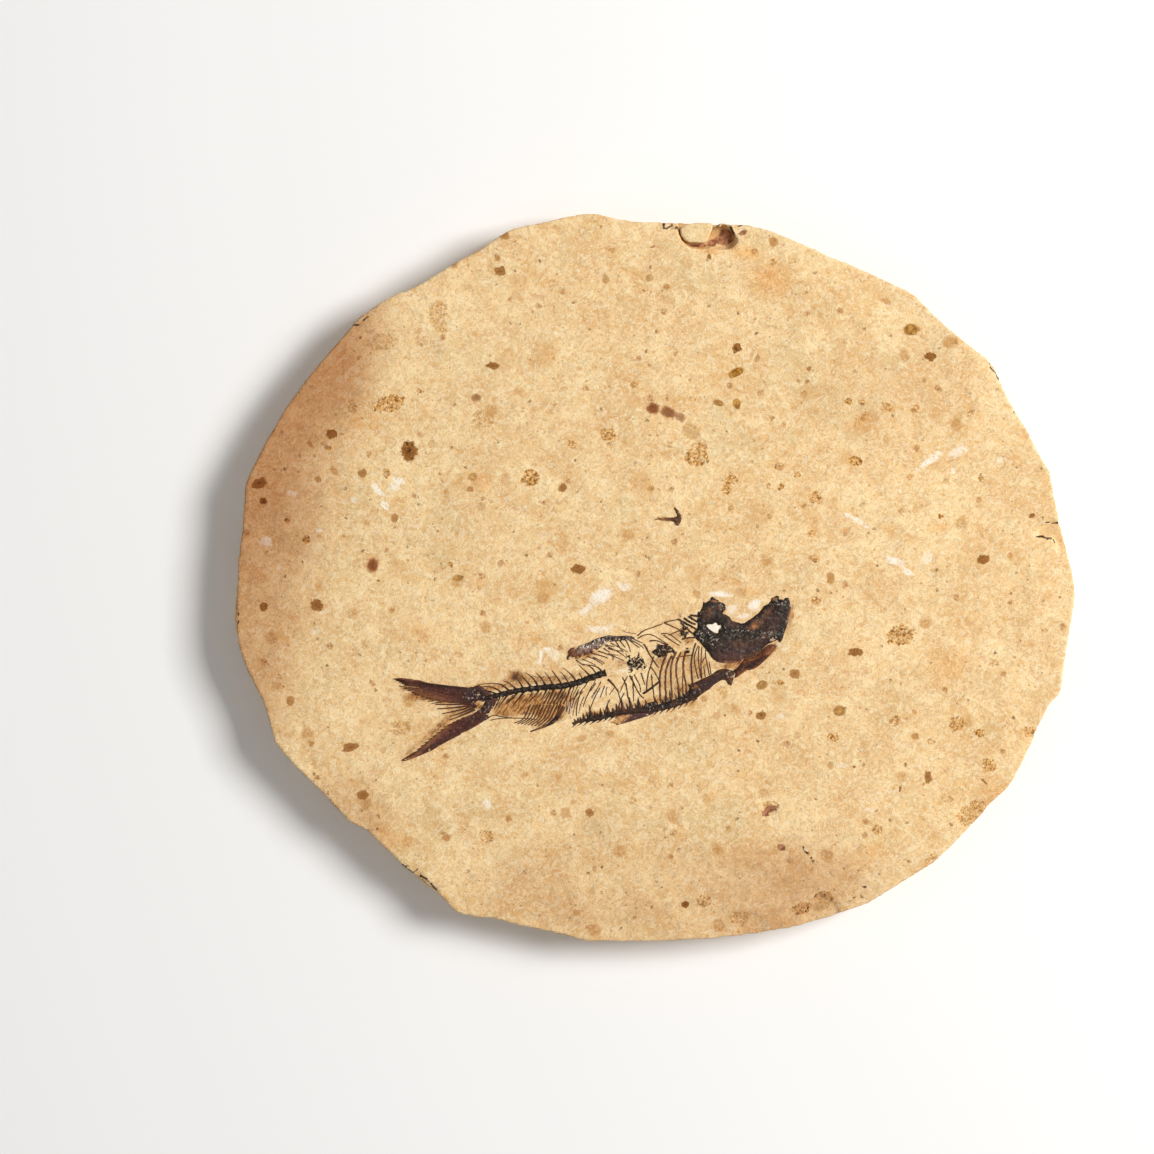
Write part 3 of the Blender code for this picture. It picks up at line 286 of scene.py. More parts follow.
CHALK_MARKS = (
    (6.6, -5.6, 0.95, 0.65, 0, 1.0), (-12.0, -7.95, 0.6, 0.25, 22, 1.0),
    (-12.75, -8.6, 0.28, 0.6, -5, 1.0), (-12.9, -9.4, 0.24, 0.4, 0, 0.8),
    (-11.3, -8.6, 1.0, 0.8, 0, 0.45), (13.9, -7.5, 0.4, 0.2, 0, 0.9), (7.4, -1.85, 1.7, 0.35, -4, 0.8),
    (8.7, -3.5, 0.9, 0.7, 20, 0.6), (11.2, -3.0, 0.9, 0.6, 40, 0.8), (10.0, -4.3, 1.0, 0.4, 5, 0.65),
    (-6.0, -1.9, 1.7, 0.6, 25, 0.5), (-7.6, -3.4, 1.1, 0.4, 40, 0.4), (-3.2, -0.9, 1.0, 0.4, 10, 0.4),
    (-6.0, -5.7, 1.7, 0.4, 5, 0.4), (-3.2, -14.6, 1.1, 0.5, 0, 0.35), (14.6, -7.9, 0.7, 0.3, 30, 0.4),
    (-9.4, -14.4, 1.0, 0.6, 60, 0.4), (-6.3, -12.9, 1.6, 0.7, 40, 0.35),
)
RUST_MARKS = (
    (7.9, 38.3, 1.25, 1.0, 0, 1.0), (6.5, 37.6, 0.6, 0.5, 0, 0.9), (4.9, 37.3, 1.2, 0.22, -4, 1.0),
    (9.9, 38.65, 0.6, 0.32, 20, 0.9), (-28.6, -32.0, 1.2, 0.2, -40, 0.5),
    (13.0, -25.9, 0.9, 0.5, 20, 0.8), (14.2, -30.2, 0.6, 0.35, -20, 1.0),
    (12.4, -26.5, 0.5, 0.3, -30, 0.9), (6.9, 38.8, 0.5, 0.5, 0, 0.0),
)
CRACKS = (  # hairline cracks where the top bed is lifting: the width, then the route
    (0.13, (0.8, 40.1), (1.1, 39.3), (2.0, 39.0), (2.5, 39.2), (2.9, 38.5), (3.3, 38.1)),
    (0.09, (1.0, 39.4), (1.9, 39.4), (2.6, 40.2)),
    (0.1, (3.0, 38.6), (3.1, 39.4), (3.7, 39.9), (5.0, 40.1)),
    (0.12, (8.9, 38.5), (8.4, 39.2), (8.2, 40.1)),
    (0.09, (9.2, 39.3), (9.9, 39.7), (10.8, 39.4)),
    (0.11, (-30.5, -30.9), (-29.4, -31.6), (-28.3, -32.1), (-27.4, -32.0)),
    (0.1, (-28.4, -32.2), (-27.2, -33.1), (-26.4, -32.6), (-26.2, -33.4), (-25.2, -34.1), (-24.4, -34.9)),
    (0.09, (-46.9, -3.0), (-46.5, -4.2), (-46.8, -5.8)),
    (0.09, (-35.0, 28.9), (-33.3, 28.1), (-32.2, 29.2)),
    (0.08, (42.8, 4.7), (43.6, 4.5), (44.5, 4.4), (45.0, 3.6)),
    (0.07, (42.9, 5.6), (44.2, 6.3), (45.6, 6.2)),
    (0.07, (21.8, -36.3), (22.8, -35.5), (23.2, -34.6), (24.3, -34.6)),
    (0.07, (16.9, -37.5), (17.6, -36.3), (18.2, -35.4), (19.2, -35.8)),
    (0.08, (37.4, 24.3), (37.9, 23.0), (38.7, 22.2), (40.0, 21.7)),
    (0.08, (16.4, -30.0), (17.2, -30.9), (17.6, -31.6)),
    (0.09, (-27.7, 15.2), (-27.4, 14.3), (-27.1, 13.3)),
    (0.09, (-27.4, 14.3), (-26.9, 14.9)),
)
SHADE_MARKS = (  # painted shade: where the stone is darkened along its left and lower edge
    (-50.0, 10.0, 15.0, 22.0, -8, 1.0), (-40.0, 24.0, 9.0, 13.0, -40, 1.0),
    (-50.0, -10.0, 11.0, 13.0, 10, 0.7), (-36.0, -28.0, 8.0, 7.0, 40, 0.5),
    (14.0, -36.0, 12.0, 8.0, 12, 0.6), (-6.0, -35.0, 18.0, 8.0, 0, 0.4), (26.0, 20.0, 9.0, 5.0, 10, 0.25),
    (-5.0, -30.0, 8.0, 6.0, 0, 0.25),
)
RIMMED_MARKS = {  # by the name that each kind is stored under
    "umber": UMBER_MARKS, "plum": PLUM_MARKS, "ochre": OCHRE_MARKS, "grainy": GRAINY_MARKS,
    "pale": PALE_MARKS, "wash": WASH_MARKS,
}
RIMLESS_MARKS = {
    "film": FILM_MARKS, "soot": SOOT_MARKS, "chalk": CHALK_MARKS, "rust": RUST_MARKS,
    "shade": SHADE_MARKS,
}
MARKED_DEPTH = 1.5  # how far below the face the marks still colour the broken edge
CRACKED_DEPTH = 0.9  # and how far down the cracks run


def wander(points, size, seed=0.0):
    """Smooth noise between -1 and 1 for each point, with blotches about size millimetres across."""
    return np.array([noise.noise(Vector((x / size + seed, y / size - seed, z / size))) for x, y, z in points])


def along_and_across(points, x, y, turn):
    """How far each point lies along and across a line through (x, y), turned by turn degrees."""
    ahead, aside = math.cos(math.radians(turn)), math.sin(math.radians(turn))
    dx, dy = points[:, 0] - x, points[:, 1] - y
    return dx * ahead + dy * aside, dy * ahead - dx * aside


def off_line(points, start, end):
    """Distance of each point from the straight line between two places, in millimetres."""
    (ax, ay), (bx, by) = start, end
    dx, dy = bx - ax, by - ay
    share = ((points[:, 0] - ax) * dx + (points[:, 1] - ay) * dy) / max(dx * dx + dy * dy, 1e-9)
    share = np.clip(share, 0.0, 1.0)
    return np.hypot(points[:, 0] - ax - share * dx, points[:, 1] - ay - share * dy)


def blots(points, base, marks):
    """A value for each point: the base, with each mark laid over it as a soft-edged blot."""
    value = np.full(len(points), float(base))
    for x, y, length, width, turn, level in marks:
        along, across = along_and_across(points, x, y, turn)
        share = np.exp(-1.2 * ((along / length) ** 2 + (across / width) ** 2) ** 2)
        value = value * (1 - share) + level * share
    return value


def along_routes(points, routes):
    """For each point, 1 on the nearest of the routes, falling to 0 at the width given with each."""
    nearest = np.zeros(len(points))
    for width, *route in routes:
        for start, end in zip(route, route[1:]):
            nearest = np.maximum(nearest, 1.0 - off_line(points, start, end) / (2 * width))
    return nearest


def closeness(points, marks):
    """For each point, 1 at the middle of the nearest mark, 0 on its rim and -1 well outside, and
    with it that mark's strength."""
    nearest = np.full(len(points), -1.0)
    strength = np.zeros(len(points))
    for x, y, length, width, turn, share in marks:
        along, across = along_and_across(points, x, y, turn)
        close = 1.0 - np.hypot(along / length, across / width)
        nearer = close > nearest
        nearest = np.where(nearer, close, nearest)
        strength = np.where(nearer, share, strength)
    return nearest, strength


stone_points = points_of(stone)
on_face = stone_points[:, 2] > FACE - MARKED_DEPTH
for name, marks in RIMMED_MARKS.items():
    nearest, strength = closeness(stone_points, marks)
    mark(stone, name, np.where(on_face, nearest, -1.0))
    mark(stone, name + "_strength", strength)
for name, marks in RIMLESS_MARKS.items():
    mark(stone, name, np.where(on_face, blots(stone_points, 0.0, marks), 0.0))
crooked_points = stone_points.copy()
for axis, seed in ((0, 2.0), (1, 7.0)):
    crooked_points[:, axis] += 0.3 * wander(stone_points, 0.9, seed)
cracked = along_routes(crooked_points, CRACKS)
mark(stone, "crack", np.where(stone_points[:, 2] > FACE - CRACKED_DEPTH, cracked, 0.0))


def paint(red, green, blue):
    """A colour read off on the 0 to 255 scale of a screen, as the linear light a shader takes."""
    linear = [((c / 255 + 0.055) / 1.055) ** 2.4 if c > 10 else c / 255 / 12.92 for c in (red, green, blue)]
    return (*linear, 1.0)


def plug(tree, socket, value):
    """Wires one node to a socket, or sets the socket where value is a plain number or colour."""
    if isinstance(value, bpy.types.NodeSocket):
        tree.links.new(value, socket)
    else:
        socket.default_value = value


def place(tree, turn=0.0, stretch=(1.0, 1.0, 1.0), shift=(0.0, 0.0, 0.0)):
    """Object coordinates, turned in the plane of the face and then squeezed along each axis."""
    where = tree.nodes.new("ShaderNodeTexCoord").outputs["Object"]
    mapping = tree.nodes.new("ShaderNodeMapping")
    mapping.vector_type = "TEXTURE"
    mapping.inputs["Rotation"].default_value = (0.0, 0.0, math.radians(turn))
    mapping.inputs["Scale"].default_value = [1.0 / s for s in stretch]
    mapping.inputs["Location"].default_value = [s * MM for s in shift]
    tree.links.new(where, mapping.inputs["Vector"])
    return mapping.outputs["Vector"]


def grain(tree, where, size, detail=2.0, roughness=0.55, distortion=0.0):
    """Cloudy noise between 0 and 1 whose blotches are about size millimetres across."""
    made = tree.nodes.new("ShaderNodeTexNoise")
    plug(tree, made.inputs["Vector"], where)
    made.inputs["Scale"].default_value = 1.0 / (size * MM)
    made.inputs["Detail"].default_value = detail
    made.inputs["Roughness"].default_value = roughness
    made.inputs["Distortion"].default_value = distortion
    return made.outputs["Fac"]


def between(tree, value, low, high, bottom=0.0, top=1.0):
    """Stretches the part of a value from low to high over bottom to top, smoothly."""
    made = tree.nodes.new("ShaderNodeMapRange")
    made.interpolation_type = "SMOOTHSTEP"
    plug(tree, made.inputs["Value"], value)
    for socket, number in (("From Min", low), ("From Max", high), ("To Min", bottom), ("To Max", top)):
        made.inputs[socket].default_value = number
    return made.outputs["Result"]


def sums(tree, operation, first, second, third=0.0):
    made = tree.nodes.new("ShaderNodeMath")
    made.operation = operation
    for socket, value in zip(made.inputs, (first, second, third)):
        plug(tree, socket, value)
    return made.outputs["Value"]


def over(tree, share, below, above, blend="MIX"):
    """Lays one colour over another by a share from 0 to 1."""
    made = tree.nodes.new("ShaderNodeMix")
    made.data_type = "RGBA"
    made.blend_type = blend
    plug(tree, made.inputs[0], share)
    plug(tree, made.inputs[6], below)
    plug(tree, made.inputs[7], above)
    return made.outputs[2]


def tinted(tree, share, colour, tint):
    """Darkens a colour towards its product with a tint, by a share from 0 to 1."""
    return over(tree, share, colour, over(tree, 1.0, colour, tint, "MULTIPLY"))


def stored(tree, name):
    made = tree.nodes.new("ShaderNodeAttribute")
    made.attribute_name = name
    return made.outputs["Fac"]


def new_finish(name, roughness, specular):
    """An empty finish: its tree, and its Principled shader with what is the same all over."""
    made = bpy.data.materials.new(name)
    made.use_nodes = True
    shader = made.node_tree.nodes["Principled BSDF"]
    shader.inputs["Roughness"].default_value = roughness
    shader.inputs["Specular IOR Level"].default_value = specular
    return made, made.node_tree, shader


def bump(tree, shader, height, depth):
    made = tree.nodes.new("ShaderNodeBump")
    made.inputs["Distance"].default_value = depth * MM
    made.inputs["Strength"].default_value = 0.9
    plug(tree, made.inputs["Height"], height)
    plug(tree, shader.inputs["Normal"], made.outputs["Normal"])


def ragged(tree, name, wobble, amount):
    """A value stored on the piece's points, shaken by a noise, so that its rim is broken up."""
    return sums(tree, "MULTIPLY_ADD", sums(tree, "SUBTRACT", wobble, 0.5), amount, stored(tree, name))


def soaked(tree, name, wobble, soft, amount):
    """How far a kind of mark colours the stone at a point, from 0 on its rim."""
    inside = between(tree, ragged(tree, name, wobble, amount), 0.0, soft)
    return sums(tree, "MULTIPLY", inside, stored(tree, name + "_strength"))


def pushed_about(tree, where, size, reach):
    """Coordinates moved by a noise, so that the round flecks laid out on them come out ragged."""
    warp = tree.nodes.new("ShaderNodeTexNoise")
    warp.inputs["Scale"].default_value = 1.0 / (size * MM)
    warp.inputs["Detail"].default_value = 3.0
    tree.links.new(where, warp.inputs["Vector"])
    moved = tree.nodes.new("ShaderNodeVectorMath")
    moved.operation = "MULTIPLY_ADD"
    tree.links.new(warp.outputs["Color"], moved.inputs[0])
    moved.inputs[1].default_value = (reach * MM,) * 3
    tree.links.new(where, moved.inputs[2])
    return moved.outputs["Vector"]


def scattered(tree, where, cell, dot, chosen):
    """Flecks of radius dot, one in each cell whose own random number is above the chosen one."""
    cells = tree.nodes.new("ShaderNodeTexVoronoi")
    cells.inputs["Scale"].default_value = 1.0 / (cell * MM)
    tree.links.new(where, cells.inputs["Vector"])
    pick = tree.nodes.new("ShaderNodeSeparateColor")
    tree.links.new(cells.outputs["Color"], pick.inputs["Color"])
    near = between(tree, cells.outputs["Distance"], dot / cell, dot / cell * 0.5)
    return sums(tree, "MULTIPLY", near, sums(tree, "GREATER_THAN", pick.outputs["Red"], chosen))


def limestone(name, paler=0.0):
    """Buff limestone: cloudy, finely flecked, with every mark soaked into the split face."""
    finish, tree, shader = new_finish(name, roughness=0.9, specular=0.08)
    even = place(tree)
    bedding = place(tree, turn=-22.0, stretch=(0.8, 1.0, 1.0))
    slanted = place(tree, turn=-30.0, stretch=(0.7, 1.0, 1.0), shift=(4.0, 9.0, 1.0))
    clouds = grain(tree, bedding, 4.5, detail=4.0)
    far_clouds = grain(tree, place(tree, shift=(31.0, 7.0, 3.0)), 9.0, detail=3.0)
    cool_clouds = grain(tree, place(tree, shift=(-17.0, 23.0, 9.0)), 6.0, detail=3.0)
    patches = grain(tree, slanted, 2.2, detail=3.0)
    mottle = grain(tree, bedding, 1.0, detail=4.0, roughness=0.6)
    wobble = grain(tree, even, 0.5, detail=3.0, roughness=0.6)
    fine = grain(tree, even, 0.24, detail=3.0, roughness=0.65)

    # The bare stone, from its widest clouds to its finest grain.
    colour = over(tree, between(tree, clouds, 0.35, 0.65), paint(234, 194, 138), paint(250, 216, 160))
    for blotches, start, full, share, shade in (
        (patches, 0.54, 0.72, 0.55, paint(226, 174, 112)),
        (patches, 0.46, 0.3, 0.5, paint(254, 226, 174)),
        (far_clouds, 0.5, 0.75, 0.45, paint(238, 190, 126)),
        (cool_clouds, 0.5, 0.74, 0.5, paint(214, 186, 134)),
        (mottle, 0.5, 0.66, 0.65, paint(255, 236, 190)),
        (mottle, 0.48, 0.34, 0.55, paint(208, 158, 100)),
        (fine, 0.45, 0.3, 0.5, paint(198, 154, 100)),
        (fine, 0.55, 0.7, 0.5, paint(255, 238, 198)),
    ):
        colour = over(tree, between(tree, blotches, start, full, 0.0, share), colour, shade)

    # The crinkle of the split, painted in colour: a dark line of painted shade and a painted highlight on the
    # ridge beside it, each in its own half of the mottle.
    creased = place(tree, turn=35.0, stretch=(0.7, 1.0, 1.0))
    crinkle = grain(tree, creased, 0.85, detail=2.5, distortion=1.2)
    for level, start, full, share, shade in (
        (0.46, 0.42, 0.55, 0.3, paint(184, 132, 78)),
        (0.56, 0.56, 0.44, 0.4, paint(255, 242, 208)),
    ):
        line = sums(tree, "ABSOLUTE", sums(tree, "SUBTRACT", crinkle, level), 0.0)
        line = sums(tree, "MULTIPLY", between(tree, line, 0.07, 0.015), between(tree, mottle, start, full))
        colour = over(tree, sums(tree, "MULTIPLY", line, share), colour, shade)
    colour = over(tree, paler, colour, paint(248, 222, 172))
    wash = soaked(tree, "wash", mottle, soft=0.9, amount=1.2)
    colour = tinted(tree, wash, colour, paint(249, 224, 194))

    # Small flecks of five sizes, scattered all over.
    loose = pushed_about(tree, even, 0.45, 0.6)
    crumbled = between(tree, fine, 0.38, 0.56, 0.25, 1.0)
    for cell, dot, chosen, share, shade in (
        (0.9, 0.17, 0.6, 0.7, paint(158, 108, 58)),
        (1.7, 0.26, 0.6, 0.8, paint(124, 84, 44)),
        (3.1, 0.5, 0.3, 0.85, paint(176, 116, 54)),
        (5.2, 0.95, 0.3, 0.75, paint(196, 138, 70)),
        (7.4, 1.5, 0.35, 0.45, paint(212, 156, 88)),
    ):
        fleck = sums(tree, "MULTIPLY", scattered(tree, loose, cell, dot, chosen), crumbled)
        colour = over(tree, sums(tree, "MULTIPLY", fleck, share), colour, shade)

    # The marks with a rim, one kind over the other, and the painted shade along the left and lower edge over
    # them.
    golden = over(tree, between(tree, fine, 0.53, 0.42), paint(222, 164, 90), paint(138, 88, 38))
    golden = over(tree, between(tree, fine, 0.58, 0.66), golden, paint(255, 232, 184))
    grainy = soaked(tree, "grainy", wobble, soft=0.2, amount=1.0)
    grainy = sums(tree, "MULTIPLY", grainy, between(tree, wobble, 0.35, 0.55, 0.45, 1.0))
    colour = over(tree, grainy, colour, golden)

    ochre = over(tree, between(tree, wobble, 0.35, 0.65), paint(150, 98, 36), paint(204, 150, 70))
    ochre = over(tree, between(tree, fine, 0.47, 0.4, 0.0, 0.6), ochre, paint(104, 70, 34))
    colour = over(tree, soaked(tree, "ochre", wobble, soft=0.25, amount=0.6), colour, ochre)

    strength = stored(tree, "umber_strength")
    depth = sums(tree, "MULTIPLY", stored(tree, "umber"), strength)
    umber = over(tree, between(tree, strength, 0.6, 0.98), paint(214, 162, 104), paint(142, 88, 38))
    umber = over(tree, between(tree, depth, 0.4, 1.0), umber, paint(98, 58, 26))
    umber = over(tree, between(tree, fine, 0.42, 0.6, 0.0, 0.5), umber, paint(184, 134, 74))
    umber = over(tree, between(tree, wobble, 0.45, 0.3, 0.0, 0.5), umber, paint(96, 60, 32))
    inside = between(tree, soaked(tree, "umber", wobble, soft=0.4, amount=1.1), 0.0, 0.75)
    colour = over(tree, inside, colour, umber)

    plum = over(tree, between(tree, stored(tree, "plum"), 0.0, 0.7), paint(186, 124, 76), paint(130, 78, 42))
    plum = over(tree, between(tree, fine, 0.42, 0.6, 0.0, 0.4), plum, paint(168, 114, 74))
    colour = over(tree, soaked(tree, "plum", wobble, soft=0.4, amount=0.8), colour, plum)

    scuffs = grain(tree, place(tree, turn=-35.0, stretch=(0.4, 1.0, 1.0)), 0.55, detail=3.0)
    pale = soaked(tree, "pale", scuffs, soft=0.6, amount=2.0)
    pale = sums(tree, "MULTIPLY", pale, between(tree, fine, 0.36, 0.5, 0.35, 0.95))
    colour = over(tree, pale, colour, paint(255, 246, 228))
    # painted shade: the stone is darkened along its left and lower edge by the stored shade marks
    painted_shade = between(tree, ragged(tree, "shade", mottle, 0.9), 0.0, 1.1)
    colour = tinted(tree, painted_shade, colour, paint(202, 172, 156))

    # The stains round the bones, torn where they are strong.
    tearing = sums(tree, "MULTIPLY", sums(tree, "SUBTRACT", wobble, 0.5), 1.6)
    streaks = grain(tree, place(tree, turn=52.0, stretch=(0.25, 1.0, 1.0)), 0.22, detail=2.0)
    film = over(tree, between(tree, streaks, 0.4, 0.6), paint(138, 88, 46), paint(206, 152, 94))
    film = over(tree, between(tree, fine, 0.45, 0.3, 0.0, 0.6), film, paint(110, 68, 38))
    for stain, start, full, shade in (
        ("film", 0.0, 0.75, film),
        ("soot", 0.15, 0.9, paint(92, 62, 48)),
        ("chalk", 0.1, 0.9, paint(255, 244, 226)),
    ):
        torn = sums(tree, "MULTIPLY", tearing, stored(tree, stain))
        torn = sums(tree, "ADD", stored(tree, stain), torn)
        colour = over(tree, between(tree, torn, start, full), colour, shade)

    # The broken edge below the face, with the beds showing in it as thin level bands.
    height = tree.nodes.new("ShaderNodeSeparateXYZ")
    tree.links.new(even, height.inputs["Vector"])
    deep = between(tree, height.outputs["Z"], (FACE - 0.3) * MM, (FACE - 0.5) * MM)
    beds = grain(tree, place(tree, stretch=(0.08, 0.08, 1.0)), 0.4, detail=2.0)
    broken = over(tree, between(tree, beds, 0.4, 0.6), paint(206, 156, 100), paint(246, 214, 164))
    broken = over(tree, between(tree, wobble, 0.4, 0.65, 0.0, 0.5), broken, paint(226, 178, 114))
    broken = over(tree, between(tree, fine, 0.46, 0.34, 0.0, 0.6), broken, paint(160, 112, 66))
    colour = over(tree, sums(tree, "MULTIPLY", deep, 0.8), colour, broken)
    rust = over(tree, between(tree, wobble, 0.4, 0.6), paint(132, 84, 58), paint(184, 130, 94))
    rusted = between(tree, ragged(tree, "rust", wobble, 0.7), 0.3, 0.6)
    colour = over(tree, rusted, colour, rust)
    colour = over(tree, between(tree, stored(tree, "crack"), 0.35, 0.75), colour, paint(70, 46, 30))
    plug(tree, shader.inputs["Base Color"], colour)
    bump(tree, shader, sums(tree, "ADD", sums(tree, "MULTIPLY", fine, 0.5), mottle), 0.16)
    return finish


stone.data.materials.append(limestone("split_limestone"))
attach(stone, "root")
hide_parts("limestone_slab")

# The loose flake: a chip of the top bed, the same limestone but paler, that has cracked free along
# the edge of the hollow. Nothing holds it there: it lies in the hollow that it split from.

ABOVE_ALL = 50.0  # a height above everything, from which the stone is felt for
DEEPEST_DIP = 0.3  # a bone follows the dips of the stone no deeper than this
stone_tree = BVHTree.FromObject(stone, bpy.context.evaluated_depsgraph_get())


def stone_height(x, y):
    """Height of the stone under a point of the face, in millimetres above the split plane."""
    hit = stone_tree.ray_cast(Vector((x * MM, y * MM, ABOVE_ALL * MM)), Vector((0.0, 0.0, -1.0)))[0]
    return hit.z / MM - FACE if hit else 0.0


def lay_on_stone(piece, points):
    """Lowers each point by the dip of the stone below it, so nothing hovers over a hollow."""
    dips = np.array([max(stone_height(x, y), -DEEPEST_DIP) for x, y, _ in points])
    points[:, 2] += dips
    set_points(piece, points)


def to_mesh_piece(curve_object):
    """Turns a curve into a mesh, its caps welded on and its place taken into its points."""
    take_up(curve_object)
    bpy.ops.object.convert(target="MESH")
    bpy.ops.object.transform_apply(location=True, rotation=True, scale=True)
    bpy.ops.object.mode_set(mode="EDIT")
    bpy.ops.mesh.select_all(action="SELECT")
    bpy.ops.mesh.remove_doubles(threshold=0.001 * MM)
    bpy.ops.mesh.normals_make_consistent(inside=False)
    bpy.ops.object.mode_set(mode="OBJECT")
    return bpy.context.object


def cut_sheet(name, outlines, low, high):
    """A flat sheet with the given outlines, the later ones being holes in the first."""
    curve = bpy.data.curves.new(name, "CURVE")
    curve.dimensions = "2D"
    curve.fill_mode = "BOTH"
    curve.extrude = (high - low) / 2 * MM
    for outline in outlines:
        spline = curve.splines.new("POLY")
        spline.points.add(len(outline) - 1)
        for point, (x, y) in zip(spline.points, outline):
            point.co = (x * MM, y * MM, 0.0, 1.0)
        spline.use_cyclic_u = True
    sheet = bpy.data.objects.new(name, curve)
    sheet.location.z = (low + high) / 2 * MM
    bpy.context.scene.collection.objects.link(sheet)
    return to_mesh_piece(sheet)


FLAKE_EDGE = (
    (2.85, 39.1), (2.95, 38.4), (3.4, 37.85), (3.9, 37.6), (5.6, 37.55), (5.95, 37.8), (6.2, 38.5),
    (6.5, 39.2), (6.4, 39.75), (4.7, 39.8), (3.5, 39.6),
)
FLAKE_BOTTOM = FACE - 1.15
FLAKE_TOP = FACE - 0.16  # it lies a little below the face
FLAKE_MIDDLE = (4.9, 38.8)
flake = cut_sheet("stone_flake", [FLAKE_EDGE], FLAKE_BOTTOM, FLAKE_TOP)
finish_modifier(flake, "REMESH", mode="VOXEL", voxel_size=0.12 * MM, use_smooth_shade=True)
flake_points = points_of(flake)
tilt = (flake_points[:, 0] - FLAKE_MIDDLE[0]) * 0.03 - (flake_points[:, 1] - FLAKE_MIDDLE[1]) * 0.05
crumbs = wander(flake_points, 0.8) * 0.05
flake_points[:, 2] += np.where(flake_points[:, 2] > FACE - 0.6, tilt + crumbs, 0.0)
set_points(flake, flake_points)
for name in RIMMED_MARKS:
    mark(flake, name, np.full(len(flake_points), -1.0))
    mark(flake, name + "_strength", np.zeros(len(flake_points)))
for name in (*RIMLESS_MARKS, "crack"):
    mark(flake, name, np.zeros(len(flake_points)))
flake.data.materials.append(limestone("flake_limestone", paler=0.2))
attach(flake, "root")
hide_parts("loose_flake")

# The skull: fossil bone crushed flat, umber-black with a glassy grain, a red-brown window in the snout
# and a hole through to the bare stone. Like all the bones it is pressed into the face and is part of it.

SKULL_EDGE = (
    (4.88, -3.68), (5.0, -3.9), (5.22, -3.53), (5.38, -3.14), (5.45, -2.65), (5.68, -2.8), (5.99, -2.6),
    (6.22, -2.45), (6.3, -2.19), (6.45, -2.07), (6.64, -2.22), (6.9, -2.42), (7.2, -2.5), (7.14, -2.68),
    (7.45, -2.72), (7.75, -2.84), (7.94, -3.07), (7.98, -3.45), (7.83, -3.68), (7.68, -3.83),
    (7.52, -4.02), (7.83, -4.06), (8.13, -4.2), (8.44, -4.4), (8.6, -4.75), (8.9, -4.9), (9.28, -4.98),
    (9.67, -5.1), (10.05, -5.06), (10.5, -4.75), (10.9, -4.52), (11.27, -4.2), (11.66, -3.9),
    (12.04, -3.45), (12.15, -3.2), (12.4, -3.07), (12.73, -2.9), (13.0, -2.6), (13.07, -2.26),
    (13.4, -2.1), (13.7, -1.94), (13.95, -2.1), (13.88, -2.4), (14.18, -2.4), (14.49, -2.45),
    (14.64, -2.22), (14.95, -2.22), (15.1, -2.53), (15.2, -3.0), (15.28, -3.37), (15.2, -3.9),
    (15.06, -4.6), (14.83, -5.36), (14.57, -6.05), (14.4, -6.6), (14.26, -6.97), (14.03, -7.25),
    (13.88, -7.13), (13.8, -6.9), (13.57, -7.05), (13.19, -7.2), (12.8, -7.36), (12.4, -7.66),
    (12.1, -7.9), (11.9, -8.27), (11.5, -8.66), (10.9, -8.9), (10.5, -8.96), (9.97, -9.05), (9.6, -9.35),
    (8.98, -9.5), (8.29, -9.6), (7.6, -9.55), (7.06, -9.42), (6.6, -9.15), (6.3, -8.8), (6.07, -8.4),
    (5.76, -8.04), (5.45, -7.66), (5.15, -7.3), (4.77, -6.97), (4.46, -6.6), (4.23, -6.2), (4.46, -5.98),
    (4.77, -5.6), (4.84, -5.13), (4.7, -4.83), (4.84, -4.37), (4.8, -4.06),
)
SKULL_HOLE = (
    (5.72, -5.29), (5.99, -5.2), (6.53, -5.2), (6.68, -5.06), (6.83, -4.98), (7.02, -5.13), (7.1, -5.34),
    (7.45, -5.25), (7.45, -5.6), (7.2, -5.75), (7.14, -6.2), (6.83, -6.2), (6.45, -5.97), (6.14, -5.75),
)
SEAT = 0.12  # how far every bone is sunk in the stone
BLANK = 0.3  # how far the sheet that a bone is formed from stands above the face


def off_outline(points, outlines):
    """Distance of each point from the nearest edge of the outlines, in millimetres."""
    nearest = np.full(len(points), 1e9)
    for outline in outlines:
        for start, end in zip(outline, outline[1:] + outline[:1]):
            nearest = np.minimum(nearest, off_line(points, start, end))
    return nearest


def pressed_bone(name, outlines, thick, taper, facet=0.06, rough=0.05, swellings=()):
    """A flat bone: a sheet rebuilt in small facets, thin at its rim, crumpled and swollen on top."""
    piece = cut_sheet(name, outlines, FACE - SEAT, FACE + BLANK)
    finish_modifier(piece, "REMESH", mode="VOXEL", voxel_size=facet * MM, use_smooth_shade=True)
    points = points_of(piece)
    rise = thick * np.sqrt(np.clip(off_outline(points, outlines) / taper, 0.02, 1.0))
    for x, y, length, width, turn, height in swellings:
        along, across = along_and_across(points, x, y, turn)
        rise += height * np.exp(-1.5 * ((along / length) ** 2 + (across / width) ** 2))
    flat = points.copy()
    flat[:, 2] = 0.0
    crumple = wander(flat, 0.45, 3.0) + 0.7 * wander(flat, 0.18, 9.0)
    rise += rough * crumple * np.clip(rise / thick, 0.2, 1.0)
    share = np.clip((points[:, 2] - (FACE - SEAT)) / (SEAT + BLANK), 0.0, 1.0)
    points[:, 2] = FACE - SEAT + share * (SEAT + np.maximum(rise, 0.02))
    lay_on_stone(piece, points)
    return piece


def pierce(piece, share, size, length=1.0, turn=0.0, seed=0.0):
    """Sinks ragged patches of a thin bone below the stone, so that bare stone shows through it. Share
    is how much of it sinks at each point, and a patch is length times as long as it is wide."""
    points = points_of(piece)
    along, across = along_and_across(points, 0.0, 0.0, turn)
    flat = np.stack([along / length, across, np.zeros_like(along)], axis=1)
    gone = np.clip((wander(flat, size, seed) + share - 0.5) / 0.12, 0.0, 1.0)
    points[:, 2] -= 0.5 * gone
    set_points(piece, points)


